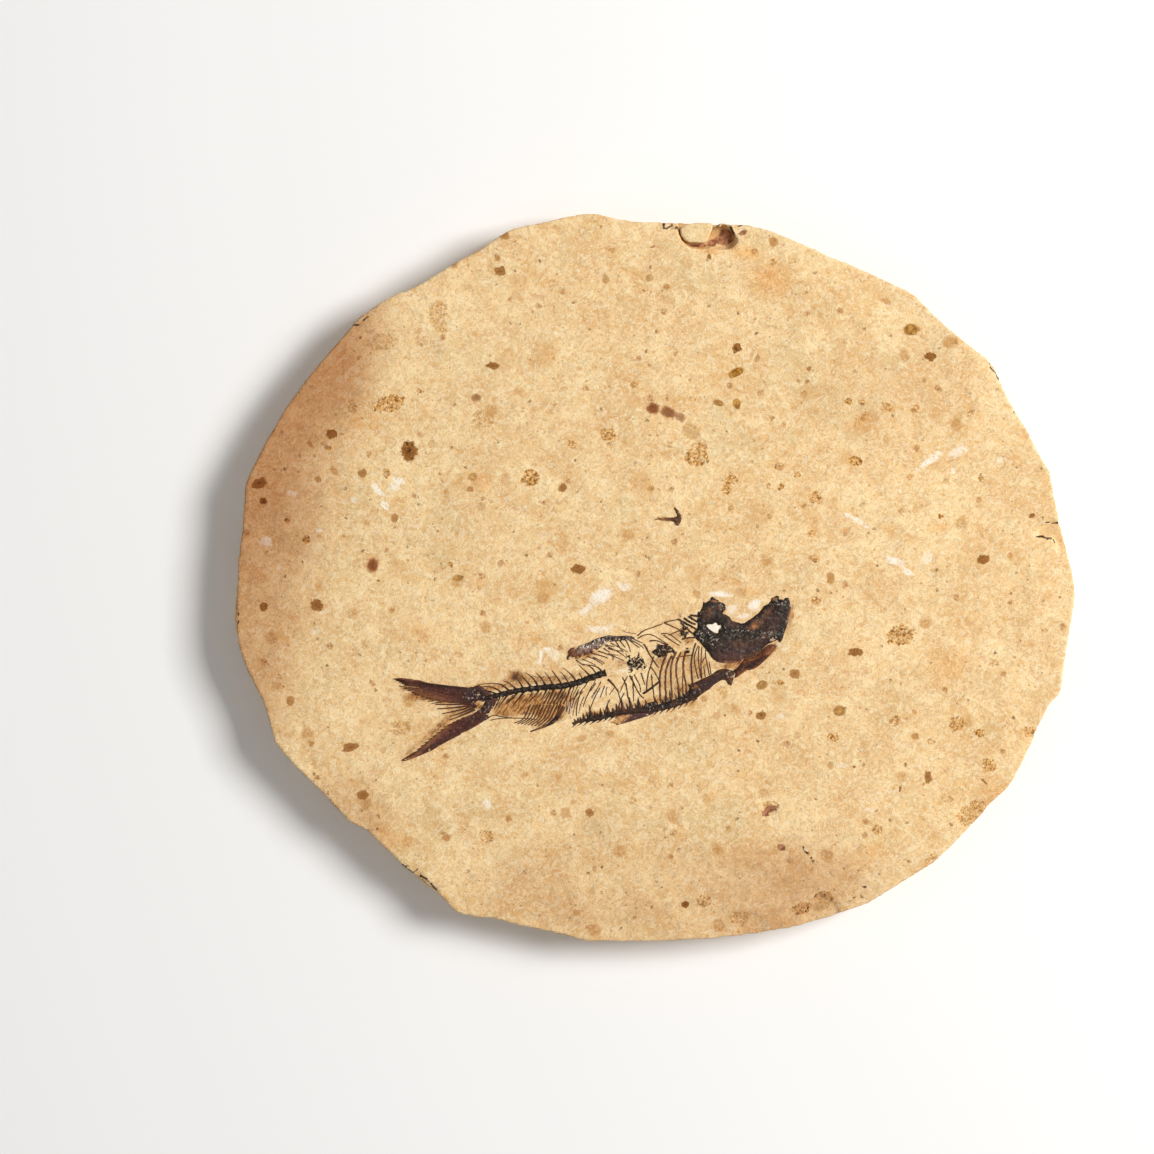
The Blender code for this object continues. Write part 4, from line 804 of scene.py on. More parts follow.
def tone(piece, name, base, marks, amount, size=0.6, seed=0.0):
    """Stores how strong a tone is at each point: a base, soft blots laid over it, and some noise."""
    points = points_of(piece)
    value = blots(points, base, marks)
    flat = points.copy()
    flat[:, 2] = 0.0
    mark(piece, name, np.clip(value + amount * wander(flat, size, seed), 0.0, 1.0))


def bone_finish(name, stops, tint, fleck, flecked, spread_from=0.57, pitted=0.7):
    """Fossil bone: its colour runs over the stops with the stored darkness, speckled with pale flecks that
    are partly pale grains and partly painted glints.
    A stop is how dark the bone is there, and then its red, green and blue."""
    finish, tree, shader = new_finish(name, roughness=0.5, specular=0.14)
    fine = grain(tree, place(tree), 0.17, detail=3.0, roughness=0.6)
    patch = grain(tree, place(tree, shift=(5.0, 3.0, 0.0)), 0.5, detail=3.0)
    ramp = tree.nodes.new("ShaderNodeValToRGB")
    tones = ramp.color_ramp.elements
    for darkness, *_ in stops[1:-1]:
        tones.new(darkness)
    for step, (darkness, *shade) in zip(tones, stops):
        step.position = darkness
        step.color = paint(*shade)
    tree.links.new(ragged(tree, "dark", patch, 0.5), ramp.inputs["Fac"])
    colour = over(tree, stored(tree, "tint"), ramp.outputs["Color"], tint)
    colour = tinted(tree, between(tree, fine, 0.45, 0.3, 0.0, pitted), colour, (0.35, 0.3, 0.28, 1.0))
    # the pale flecks are partly real pale grains of the bone and partly painted glints
    coarse = grain(tree, place(tree, shift=(11.0, 2.0, 0.0)), 0.3, detail=3.0, roughness=0.7)
    grains_and_glints = between(tree, coarse, spread_from, spread_from + 0.06)
    grains_and_glints = sums(tree, "MULTIPLY", grains_and_glints, stored(tree, "flecks"))
    colour = over(tree, sums(tree, "MULTIPLY", grains_and_glints, flecked), colour, fleck)
    plug(tree, shader.inputs["Base Color"], colour)
    bump(tree, shader, fine, 0.05)
    return finish


skull = pressed_bone(
    "skull_bone", [SKULL_EDGE, SKULL_HOLE], thick=0.3, taper=0.5, rough=0.07,
    swellings=(
        (7.6, -7.6, 2.2, 1.4, -20, 0.22), (13.4, -4.6, 2.4, 0.8, 62, 0.2), (10.4, -6.8, 2.2, 0.9, 10, 0.15),
        (6.05, -4.1, 0.8, 0.8, 0, 0.12), (14.1, -3.2, 0.7, 0.8, 0, 0.12),
    ),
)
tone(skull, "dark", 0.95, (
    (11.3, -5.2, 1.1, 0.5, 35, 0.52), (12.4, -4.2, 1.3, 0.45, 50, 0.6), (11.1, -5.5, 0.5, 0.22, 20, 0.36),
    (13.5, -4.6, 1.7, 0.6, 68, 0.8), (6.0, -3.9, 0.8, 0.7, 20, 0.66), (7.1, -3.3, 0.4, 0.35, 0, 0.55),
    (15.15, -4.3, 0.3, 1.6, -12, 0.42), (8.4, -9.0, 2.4, 0.5, 3, 0.6), (8.2, -9.5, 1.9, 0.25, 2, 0.25),
    (8.7, -5.1, 0.9, 0.6, -20, 0.78), (12.6, -6.4, 1.1, 0.4, 25, 0.75), (13.4, -2.35, 0.4, 0.3, 20, 0.5),
    (13.2, -6.95, 0.35, 0.18, 5, 0.1), (11.0, -8.6, 1.2, 0.3, 18, 0.62), (6.6, -2.6, 0.6, 0.15, -10, 0.45),
    (9.8, -7.4, 1.6, 0.7, 5, 0.74), (13.9, -4.4, 0.6, 1.2, -10, 0.97),
), size=0.45, amount=0.2, seed=2.0)
tone(skull, "tint", 0.0, (
    (8.2, -8.7, 2.8, 1.0, 5, 0.8), (7.6, -7.6, 1.6, 0.8, 0, 0.3), (12.9, -5.0, 1.6, 1.2, 60, 0.5),
    (6.05, -4.2, 0.8, 0.7, 0, 0.35), (11.0, -7.6, 1.8, 0.8, 10, 0.5),
), amount=0.15, seed=4.0)
tone(skull, "flecks", 0.12, (
    (5.4, -6.5, 0.9, 1.0, -30, 1.0), (6.4, -7.0, 1.2, 0.6, -30, 1.0), (7.9, -5.9, 0.9, 0.4, -20, 0.8),
    (9.9, -6.0, 1.2, 0.3, -5, 0.8), (12.2, -6.4, 1.6, 0.3, 15, 0.9), (13.4, -6.8, 0.8, 0.4, 10, 1.0),
    (7.6, -3.2, 0.7, 0.4, 0, 0.7), (14.3, -2.9, 0.8, 0.5, 0, 0.9), (14.6, -5.8, 0.3, 1.2, -12, 0.8),
    (5.0, -3.9, 0.4, 0.8, 0, 0.5),
), amount=0.3, seed=6.0)
skull.data.materials.append(bone_finish(
    "skull_black",
    ((0.0, 226, 178, 130), (0.3, 180, 120, 74), (0.5, 126, 84, 58), (0.72, 82, 58, 44),
     (0.85, 60, 47, 38), (1.0, 42, 35, 30)),
    tint=paint(84, 58, 54), fleck=paint(196, 190, 176), flecked=0.85, spread_from=0.55,
))
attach(skull, "root")
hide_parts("skull")

# The lower jaw and the edge of the gill cover: two long plates of red-brown fossil bone under the
# snout, streaked along their length and pressed into the face with the rest of the head.

JAW_EDGE = (
    (13.72, -7.6), (13.4, -7.5), (13.1, -7.42), (12.8, -7.45), (12.4, -7.72), (12.08, -7.98),
    (11.88, -8.33), (11.45, -8.72), (10.85, -8.93), (10.1, -9.05), (9.75, -9.4), (9.36, -9.92),
    (9.05, -10.2), (8.8, -10.3), (9.05, -10.75), (8.9, -11.25), (9.3, -11.1), (9.7, -10.8), (10.1, -10.5),
    (10.35, -10.32), (10.6, -10.35), (10.9, -10.27), (11.3, -10.1), (11.8, -9.75), (12.3, -9.3),
    (12.7, -8.9), (13.1, -8.45), (13.5, -8.02),
)
jaw = pressed_bone(
    "jaw_bone", [JAW_EDGE], thick=0.22, taper=0.4, rough=0.04,
    swellings=((11.2, -9.3, 1.6, 0.25, 28, 0.1), (12.2, -8.7, 1.4, 0.22, 40, 0.08)),
)
tone(jaw, "dark", 0.6, (
    (11.4, -9.3, 1.6, 0.2, 30, 0.95), (10.7, -9.9, 0.9, 0.18, 15, 0.9), (10.9, -9.15, 1.1, 0.1, 18, 0.32),
    (12.3, -8.2, 1.3, 0.16, 38, 0.5), (13.0, -8.1, 0.9, 0.35, 40, 0.38), (9.7, -10.75, 0.9, 0.14, 38, 0.35),
    (9.5, -10.1, 0.7, 0.2, 40, 0.85),
), size=0.35, amount=0.2)
tone(jaw, "tint", 0.15, (), amount=0.1)
tone(jaw, "flecks", 0.25, ((9.4, -10.6, 0.8, 0.5, 0, 0.8),), amount=0.2)
jaw.data.materials.append(bone_finish(
    "jaw_red_brown",
    ((0.0, 214, 160, 108), (0.3, 150, 92, 52), (0.55, 104, 62, 42), (0.75, 70, 46, 36), (1.0, 42, 30, 28)),
    tint=paint(92, 52, 44), fleck=paint(196, 158, 126), flecked=0.5,
))
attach(jaw, "root")
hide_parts("lower_jaw")

# The shoulder girdle: a dark purple-brown plate of fossil bone behind the gill cover, and the crowded
# front ribs, hair-thin rods whose lower ends lie under it. All of it is pressed into the face.

ROD_MIDDLE = 0.03  # height of a rod's middle line above the face


def new_rods(name, roundness):
    """An empty curve with a round section, in which a point's radius is in millimetres."""
    curve = bpy.data.curves.new(name, "CURVE")
    curve.dimensions = "3D"
    curve.bevel_depth = 1.0 * MM
    curve.bevel_resolution = roundness
    curve.use_fill_caps = True
    return curve


def add_rod(curve, kind, route, radii, middle):
    """One rod along a route, its middle line this high above the face."""
    spline = curve.splines.new(kind)
    spline.points.add(len(route) - 1)
    for point, (x, y), radius in zip(spline.points, route, radii):
        point.co = (x * MM, y * MM, (FACE + middle) * MM, 1.0)
        point.radius = radius
    return spline


def pressed_rods(name, curve, middle, squash):
    """The rods as one mesh, flattened about their middle line and laid on the stone."""
    rods = bpy.data.objects.new(name, curve)
    bpy.context.scene.collection.objects.link(rods)
    piece = to_mesh_piece(rods)
    bpy.ops.object.shade_smooth()
    points = points_of(piece)
    points[:, 2] = FACE + middle + (points[:, 2] - FACE - middle) * squash
    lay_on_stone(piece, points)
    return piece


def bone_strokes(name, strokes, squash=0.7):
    """Slender bones, each a tapered rod along a smooth route. A stroke is its radius at the root,
    its radius at the tip and then its points."""
    curve = new_rods(name, roundness=1)
    curve.resolution_u = 4
    for root, tip, *route in strokes:
        radii = [root + (tip - root) * at / (len(route) - 1) for at in range(len(route))]
        spline = add_rod(curve, "NURBS", route, radii, ROD_MIDDLE)
        spline.order_u = min(4, len(route))
        spline.use_endpoint_u = True
    return pressed_rods(name, curve, ROD_MIDDLE, squash)


def join_pieces(name, first, *others):
    take_up(first)
    for other in others:
        other.select_set(True)
    bpy.ops.object.join()
    joined = bpy.context.object
    joined.name = name
    return joined


SHOULDER_EDGE = (
    (3.9, -12.3), (3.7, -11.95), (4.1, -11.9), (4.5, -11.7), (4.9, -11.5), (5.2, -11.35), (5.8, -11.1),
    (6.4, -10.8), (6.9, -10.4), (7.4, -10.2), (7.9, -10.15), (8.4, -10.3), (8.85, -10.42), (8.98, -10.75),
    (8.8, -11.0), (8.85, -11.3), (8.7, -11.8), (8.6, -12.1), (8.2, -11.9), (8.0, -11.5), (7.6, -11.4),
    (7.2, -11.6), (6.6, -12.0), (6.1, -12.5), (5.6, -12.8), (5.2, -13.1), (4.8, -13.4), (4.3, -13.7),
    (3.85, -13.8), (3.8, -13.3), (3.75, -12.8),
)
FRONT_RIB_STROKES = (
    (0.06, 0.04, (-6.6, -11.8), (-7.2, -12.7)),
    (0.06, 0.04, (-7.0, -12.1), (-7.7, -13.4), (-8.0, -14.4)),
    (0.06, 0.04, (-6.1, -12.3), (-6.6, -13.1), (-7.0, -14.0), (-7.2, -14.7)),
    (0.06, 0.04, (-5.6, -12.1), (-6.1, -13.4)),
    (0.06, 0.04, (-5.3, -11.4), (-4.6, -12.0), (-4.0, -12.7)),
    (0.06, 0.04, (-7.2, -11.2), (-7.9, -12.3)),
    (0.06, 0.04, (-8.5, -12.5), (-9.0, -13.4), (-9.3, -14.6)),
    (0.06, 0.04, (-8.1, -12.5), (-8.65, -13.6), (-8.8, -14.7), (-8.75, -15.5)),
    (0.06, 0.04, (-5.0, -13.6), (-5.6, -14.6), (-5.5, -15.4)),
    (0.06, 0.04, (-3.4, -12.9), (-4.1, -14.0), (-4.0, -15.0)),
    (0.08, 0.09, (4.6, -7.3), (4.4, -7.9), (4.2, -8.67), (4.1, -9.36), (4.1, -10.1), (4.17, -11.04),
     (4.25, -12.0)),
    (0.05, 0.06, (4.9, -7.6), (4.6, -8.2), (4.4, -8.9), (4.48, -9.6), (4.63, -10.3), (4.9, -11.3)),
    (0.05, 0.06, (5.0, -7.67), (4.9, -8.36), (4.9, -9.1), (4.98, -9.9), (5.1, -10.66), (5.25, -11.3)),
    (0.05, 0.06, (5.28, -7.75), (5.25, -8.5), (5.2, -9.28), (5.2, -10.05), (5.28, -11.2)),
    (0.05, 0.06, (5.7, -8.05), (5.67, -8.67), (5.82, -9.36), (5.97, -9.97), (6.13, -10.9)),
    (0.05, 0.04, (5.62, -8.9), (5.45, -9.2), (5.34, -9.5)),
    (0.04, 0.06, (6.09, -9.36), (6.2, -9.9), (6.32, -10.8)),
    (0.04, 0.05, (5.5, -9.9), (5.63, -10.5), (5.67, -11.1)),
)
shoulder_plate = pressed_bone(
    "shoulder_bones", [SHOULDER_EDGE], thick=0.26, taper=0.35,
    swellings=((6.4, -11.6, 2.2, 0.4, 28, 0.15), (8.2, -10.8, 0.6, 0.5, 0, 0.1)),
)
front_ribs = bone_strokes("front_rib_rods", FRONT_RIB_STROKES)
shoulder = join_pieces("shoulder_bones", shoulder_plate, front_ribs)
tone(shoulder, "dark", 0.82, (
    (6.3, -11.6, 2.2, 0.45, 28, 0.92), (4.65, -12.3, 0.3, 0.35, 0, 0.3), (8.6, -11.6, 0.5, 0.5, 0, 0.62),
    (4.4, -12.9, 0.8, 0.5, 30, 0.97), (5.2, -9.6, 1.8, 1.9, 0, 0.62),
), size=0.5, amount=0.15)
tone(shoulder, "tint", 0.1, ((6.3, -11.7, 1.6, 0.6, 28, 0.65),), amount=0.15)
tone(shoulder, "flecks", 0.15, ((8.4, -11.0, 0.8, 0.7, 0, 1.0), (4.6, -12.4, 0.6, 0.5, 0, 0.8)), amount=0.2)
BLACK_BROWN = (
    (0.0, 208, 160, 108), (0.3, 156, 104, 60), (0.55, 112, 70, 40), (0.8, 72, 48, 33), (1.0, 38, 31, 27),
)
bone_black = bone_finish(
    "bone_black_brown", BLACK_BROWN, tint=paint(74, 54, 54), fleck=paint(196, 182, 164), flecked=0.8,
    pitted=0.45,
)
shoulder.data.materials.append(bone_black)
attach(shoulder, "root")
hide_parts("shoulder_girdle")

# The front of the backbone: four crushed remains of vertebrae, each on its own, in crumbly black bone
# with pale grains. They are pressed into the face, and bare stone shows through their gaps.

VERTEBRA_EDGES = {
    "front_vertebra_1": (
        (-3.35, -8.2), (-3.15, -8.5), (-2.85, -8.55), (-2.75, -8.85), (-2.4, -8.85), (-2.05, -8.75),
        (-1.85, -8.6), (-1.8, -8.2), (-1.6, -8.55), (-1.4, -8.85), (-1.2, -9.1), (-1.12, -9.6), (-0.9, -9.95),
        (-1.2, -10.2), (-1.5, -10.35), (-1.9, -10.3), (-2.3, -10.35), (-2.6, -10.6), (-3.1, -10.6),
        (-2.85, -10.35), (-2.95, -9.95), (-3.05, -9.5), (-2.9, -9.1), (-3.05, -8.8),
    ),
    "front_vertebra_2": (
        (-0.3, -8.3), (-0.1, -8.05), (0.2, -7.9), (0.3, -7.5), (0.15, -7.3), (0.5, -7.45), (0.9, -7.5),
        (1.3, -7.4), (1.7, -7.6), (1.95, -7.9), (2.3, -8.2), (2.35, -8.6), (1.95, -8.35), (1.5, -8.4),
        (1.2, -8.55), (0.95, -8.95), (0.6, -9.0), (0.35, -8.75), (0.0, -8.65),
    ),
    "front_vertebra_3": (
        (2.7, -6.55), (2.95, -6.25), (2.8, -5.85), (3.0, -5.6), (3.3, -5.35), (3.65, -5.5), (3.75, -5.75),
        (4.05, -5.9), (3.98, -6.3), (3.65, -6.45), (3.45, -6.8), (3.05, -6.75),
    ),
    "front_vertebra_4": (
        (3.3, -8.35), (3.4, -8.0), (3.6, -7.85), (3.85, -7.95), (4.0, -8.25), (3.9, -8.45), (3.6, -8.45),
    ),
}
RINGED_VERTEBRAE = ("front_vertebra_1", "front_vertebra_3")  # the two that are rings of pale grains
lump_black = bone_finish(
    "vertebra_granular", BLACK_BROWN, tint=paint(74, 56, 56), fleck=paint(240, 226, 204), flecked=0.9,
)
for node, edge in VERTEBRA_EDGES.items():
    lump = pressed_bone(node + "_bone", [edge], thick=0.26, taper=0.3, facet=0.05, rough=0.14)
    crumbs = points_of(lump)
    flat = crumbs * (1.0, 1.0, 0.0)
    crumbs[:, :2] += 0.16 * np.stack([wander(flat, 0.3, 1.0), wander(flat, 0.3, 5.0)], axis=1)
    set_points(lump, crumbs)
    gone = np.full(len(crumbs), 0.5 if node in RINGED_VERTEBRAE else 0.3)
    pierce(lump, gone, size=0.24, seed=2.0)
    tone(lump, "dark", 0.95, (
        (-3.1, -8.4, 0.3, 0.4, 0, 0.8), (0.5, -8.7, 0.6, 0.3, 0, 0.85), (1.2, -7.7, 0.8, 0.3, 0, 0.95),
        (3.3, -6.0, 0.3, 0.3, 0, 0.55),
    ), size=0.3, amount=0.2)
    tone(lump, "tint", 0.0, ((1.0, -8.1, 1.2, 0.5, 0, 0.35),), amount=0.1)
    tone(lump, "flecks", 0.95 if node in RINGED_VERTEBRAE else 0.3, (), amount=0.2)
    lump.data.materials.append(lump_black)
    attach(lump, "root")
    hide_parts(node)

# The rear backbone: spool-shaped vertebrae of grey-black fossil bone, still joined in a row, with the
# slender spines that rise and fall from them. It is pressed into the face and stands a little proud.

COLUMN = (
    (-5.45, -10.62), (-6.3, -10.88), (-7.2, -11.2), (-8.2, -11.6), (-9.2, -11.88), (-10.2, -12.08),
    (-11.2, -12.18), (-12.2, -12.24), (-13.2, -12.34), (-14.2, -12.46), (-15.2, -12.6), (-16.2, -12.8),
    (-17.1, -13.02), (-17.9, -13.22), (-18.7, -13.42), (-19.3, -13.6),
)
UPPER_SPINE_STROKES = (
    (0.11, 0.04, (-5.9, -10.5), (-6.1, -10.15), (-6.6, -9.86), (-7.5, -9.7), (-7.9, -9.75)),
    (0.11, 0.03, (-6.45, -10.85), (-6.79, -10.3), (-7.14, -9.95), (-7.68, -9.68), (-8.3, -9.6)),
    (0.11, 0.03, (-7.15, -11.1), (-7.59, -10.57), (-7.95, -10.21), (-8.4, -9.86), (-8.7, -9.4)),
    (0.09, 0.04, (-8.0, -11.5), (-8.3, -10.84), (-8.5, -10.6)),
    (0.11, 0.04, (-8.75, -11.6), (-9.15, -10.93), (-9.64, -10.48), (-10.31, -10.04)),
    (0.09, 0.04, (-9.6, -11.85), (-9.82, -11.38), (-10.09, -10.84), (-10.6, -10.5)),
    (0.11, 0.05, (-10.35, -11.95), (-10.7, -11.4), (-11.16, -10.75), (-11.5, -10.4)),
    (0.11, 0.03, (-11.35, -12.05), (-11.6, -11.46), (-11.92, -10.93), (-12.4, -10.5)),
    (0.11, 0.04, (-12.2, -12.05), (-12.54, -11.38), (-12.86, -10.88), (-13.39, -10.62)),
    (0.11, 0.03, (-13.05, -12.1), (-13.39, -11.46), (-13.75, -11.02), (-14.2, -10.75), (-14.64, -10.57)),
    (0.12, 0.04, (-13.8, -12.2), (-14.2, -11.73), (-14.55, -11.29), (-15.0, -10.84)),
    (0.11, 0.04, (-14.7, -12.35), (-15.0, -11.82), (-15.3, -11.4)),
    (0.11, 0.04, (-15.5, -12.45), (-16.0, -12.0), (-16.34, -11.64), (-16.9, -11.55)),
    (0.11, 0.05, (-16.3, -12.6), (-16.9, -12.09), (-17.2, -11.91), (-17.86, -11.8), (-19.1, -11.82),
     (-19.95, -12.0)),
    (0.11, 0.05, (-17.0, -12.95), (-17.5, -12.54), (-18.0, -12.27), (-18.75, -12.09), (-19.8, -12.22)),
    (0.11, 0.05, (-17.4, -13.1), (-18.1, -12.8), (-18.84, -12.54), (-19.9, -12.38)),
    (0.09, 0.05, (-17.9, -13.2), (-18.75, -12.98), (-19.46, -12.72), (-20.1, -12.7)),
    (0.05, 0.04, (-12.3, -11.1), (-12.9, -11.15), (-13.6, -11.0)),
    (0.05, 0.04, (-10.9, -11.0), (-11.5, -11.1), (-12.0, -11.3)),
)
LOWER_SPINE_STROKES = (
    (0.12, 0.05, (-11.2, -12.4), (-11.5, -12.9), (-11.65, -13.25), (-11.95, -13.8)),
    (0.11, 0.04, (-12.1, -12.5), (-12.4, -13.25), (-12.75, -13.75)),
    (0.11, 0.04, (-12.95, -12.6), (-13.3, -13.16), (-13.75, -13.6), (-14.3, -14.0)),
    (0.07, 0.04, (-13.7, -12.8), (-14.0, -13.4), (-14.5, -13.9)),
    (0.11, 0.04, (-14.55, -12.7), (-15.0, -13.25), (-15.27, -13.7), (-15.6, -14.05)),
    (0.12, 0.04, (-15.35, -12.85), (-15.8, -13.43), (-16.25, -13.79), (-16.6, -14.16)),
    (0.11, 0.04, (-16.45, -13.1), (-16.92, -13.7), (-17.23, -14.05), (-17.45, -14.6)),
    (0.09, 0.04, (-17.3, -13.4), (-17.68, -14.14), (-17.95, -14.7)),
    (0.09, 0.04, (-17.6, -13.5), (-18.0, -14.3), (-18.2, -14.75)),
    (0.12, 0.05, (-9.35, -12.2), (-9.64, -12.89), (-9.87, -13.43), (-10.1, -13.9)),
    (0.11, 0.05, (-10.3, -12.3), (-10.63, -12.98), (-10.9, -13.6)),
    (0.06, 0.04, (-8.6, -12.1), (-8.93, -12.8), (-9.2, -13.3)),
    (0.06, 0.04, (-7.5, -11.7), (-7.9, -12.3), (-8.4, -12.9), (-8.9, -13.4)),
    (0.05, 0.04, (-6.6, -11.4), (-7.0, -12.2), (-7.3, -12.7)),
    (0.05, 0.04, (-6.0, -11.5), (-6.2, -12.2), (-6.7, -12.9), (-7.07, -13.6)),
    (0.06, 0.04, (-11.75, -12.6), (-12.1, -13.2), (-12.7, -13.9)),
    (0.06, 0.04, (-12.6, -12.7), (-13.0, -13.3), (-13.5, -13.9)),
    (0.06, 0.04, (-14.9, -13.0), (-15.3, -13.6), (-15.9, -14.3)),
    (0.06, 0.04, (-16.9, -13.3), (-17.4, -13.9), (-17.7, -14.4)),
    (0.06, 0.04, (-15.8, -13.1), (-16.3, -13.6), (-16.9, -14.4)),
    (0.06, 0.04, (-18.0, -13.6), (-18.3, -14.2), (-18.6, -14.7)),
    (0.07, 0.04, (-10.0, -12.4), (-10.3, -13.1), (-10.5, -13.9), (-10.9, -14.8)),
    (0.06, 0.04, (-9.0, -12.2), (-9.3, -13.0), (-9.6, -14.0), (-9.8, -14.8)),
)


def spread(route, count):
    """Points evenly spaced along a route."""
    corners = np.array(route)
    lengths = np.concatenate([[0.0], np.cumsum(np.hypot(*np.diff(corners, axis=0).T))])
    at = np.linspace(0.0, lengths[-1], count)
    return np.stack([np.interp(at, lengths, corners[:, axis]) for axis in (0, 1)], axis=1)


def roughen(piece, amount, size):
    """Shakes a remeshed piece's points, so that its rods look worn, and gives the points."""
    points = points_of(piece)
    points[:, :2] += amount * np.stack([wander(points, size, 1.0), wander(points, size, 5.0)], axis=1)
    points[:, 2] += 0.03 * wander(points, 0.2, 8.0)
    set_points(piece, points)
    return points


SPOOLS = 18  # vertebrae in the row
STATIONS = 4  # places along each where its radius is set: wide at its two rims, narrow at its waist
SPOOL_MIDDLE = 0.02
spool_route = spread(COLUMN, SPOOLS * STATIONS + 1)
spool_radii = []
for at in range(len(spool_route)):
    waist = 0.5 - 0.5 * math.cos(2 * math.pi * at / STATIONS)
    spool_radii.append((0.42 - 0.1 * waist) * (1.0 - 0.25 * at / len(spool_route)))
spool_curve = new_rods("vertebra_row", roundness=3)
add_rod(spool_curve, "POLY", spool_route, spool_radii, SPOOL_MIDDLE)
spools = pressed_rods("vertebra_row", spool_curve, SPOOL_MIDDLE, 0.85)
spines = bone_strokes("spine_rods", UPPER_SPINE_STROKES + LOWER_SPINE_STROKES)
column = join_pieces("backbone_bones", spools, spines)
finish_modifier(column, "REMESH", mode="VOXEL", voxel_size=0.045 * MM, use_smooth_shade=True)
column_points = roughen(column, 0.035, 0.25)
column_reach = off_outline(column_points, [COLUMN + COLUMN[-2:0:-1]])
mark(column, "dark", np.clip(0.98 - 0.28 * np.clip(column_reach - 0.25, 0.0, 1.3), 0.0, 1.0))
tone(column, "tint", 0.0, (), amount=0.1)
tone(column, "flecks", 0.25, (
    (-13.75, -12.5, 0.35, 0.25, 0, 1.0), (-14.1, -13.1, 0.6, 0.3, 0, 0.6), (-9.6, -11.9, 0.3, 0.3, 0, 0.9),
    (-8.5, -11.7, 0.3, 0.25, 0, 0.9), (-18.9, -13.4, 0.8, 0.4, 0, 0.9),
), amount=0.25)
column.data.materials.append(bone_black)
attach(column, "root")
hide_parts("backbone")

# The rib basket: dark brown ribs that hang from the crushed front vertebrae, and the toothed keel of
# the belly, whose scutes rise into pointed arms between the rib ends. It is pressed into the face.

RIB_STROKES = (
    (0.13, 0.09, (1.35, -8.5), (1.0, -9.4), (0.65, -10.4), (0.55, -11.5), (0.6, -13.0), (0.7, -14.0)),
    (0.13, 0.08, (1.95, -8.7), (1.45, -9.6), (1.2, -10.7), (1.2, -12.2), (1.3, -13.4), (1.6, -14.1)),
    (0.13, 0.08, (2.45, -8.3), (1.95, -9.2), (1.75, -10.4), (1.85, -12.0), (2.0, -13.4)),
    (0.12, 0.08, (2.95, -8.3), (2.5, -9.2), (2.35, -10.2), (2.55, -11.6), (2.8, -12.8), (2.9, -13.4)),
    (0.13, 0.08, (3.5, -8.3), (3.2, -9.2), (3.15, -10.2), (3.4, -11.2), (3.6, -12.4)),
    (0.08, 0.07, (3.3, -9.6), (3.15, -10.4), (3.1, -12.0), (3.2, -13.2)),
    (0.08, 0.07, (-0.35, -10.8), (-0.2, -12.4), (0.0, -13.8)),
    (0.07, 0.06, (-2.5, -11.0), (-2.35, -12.4), (-2.35, -13.9)),
    (0.07, 0.06, (-3.2, -11.8), (-3.1, -12.6), (-2.9, -13.6), (-2.7, -14.6)),
    (0.12, 0.07, (-1.2, -7.4), (-0.9, -7.9), (-0.4, -8.9), (0.1, -9.6), (0.5, -10.1)),
    (0.09, 0.07, (-0.1, -8.8), (-0.4, -9.8), (-0.75, -10.6), (-0.85, -11.5), (-0.9, -12.9)),
    (0.08, 0.06, (-0.5, -9.9), (0.2, -10.7), (0.6, -11.5), (0.7, -12.2)),
    (0.09, 0.06, (-5.2, -11.3), (-4.6, -11.9), (-4.1, -12.6), (-3.9, -13.4), (-3.6, -14.5)),
    (0.09, 0.06, (-2.8, -10.9), (-2.4, -11.6), (-2.0, -12.6), (-1.5, -13.3), (-1.2, -13.5)),
    (0.08, 0.05, (-2.3, -10.8), (-1.9, -11.6), (-1.4, -12.3), (-1.6, -12.8)),
    (0.08, 0.05, (-1.5, -10.6), (-1.3, -11.4), (-1.05, -12.0)),
    (0.08, 0.06, (-3.6, -11.1), (-3.2, -11.8), (-3.05, -12.6), (-3.0, -13.5)),
    (0.07, 0.05, (-3.0, -11.0), (-3.6, -12.0), (-3.9, -12.9)),
    (0.06, 0.05, (-6.0, -11.7), (-6.7, -12.8), (-7.1, -13.4)),
    (0.06, 0.05, (-5.3, -12.2), (-5.5, -12.6), (-5.4, -13.2)),
    (0.06, 0.05, (-4.5, -12.3), (-4.9, -12.9), (-5.1, -13.1)),
    (0.05, 0.05, (-8.4, -12.7), (-9.2, -13.7)),
    (0.06, 0.05, (-8.0, -12.7), (-8.7, -13.4), (-9.0, -14.2), (-9.15, -15.4)),
    (0.06, 0.05, (-7.9, -13.3), (-8.3, -14.0), (-8.5, -15.2)),
    (0.16, 0.1, (-1.3, -12.95), (-0.8, -12.7), (-0.1, -12.15), (0.5, -11.6)),
)
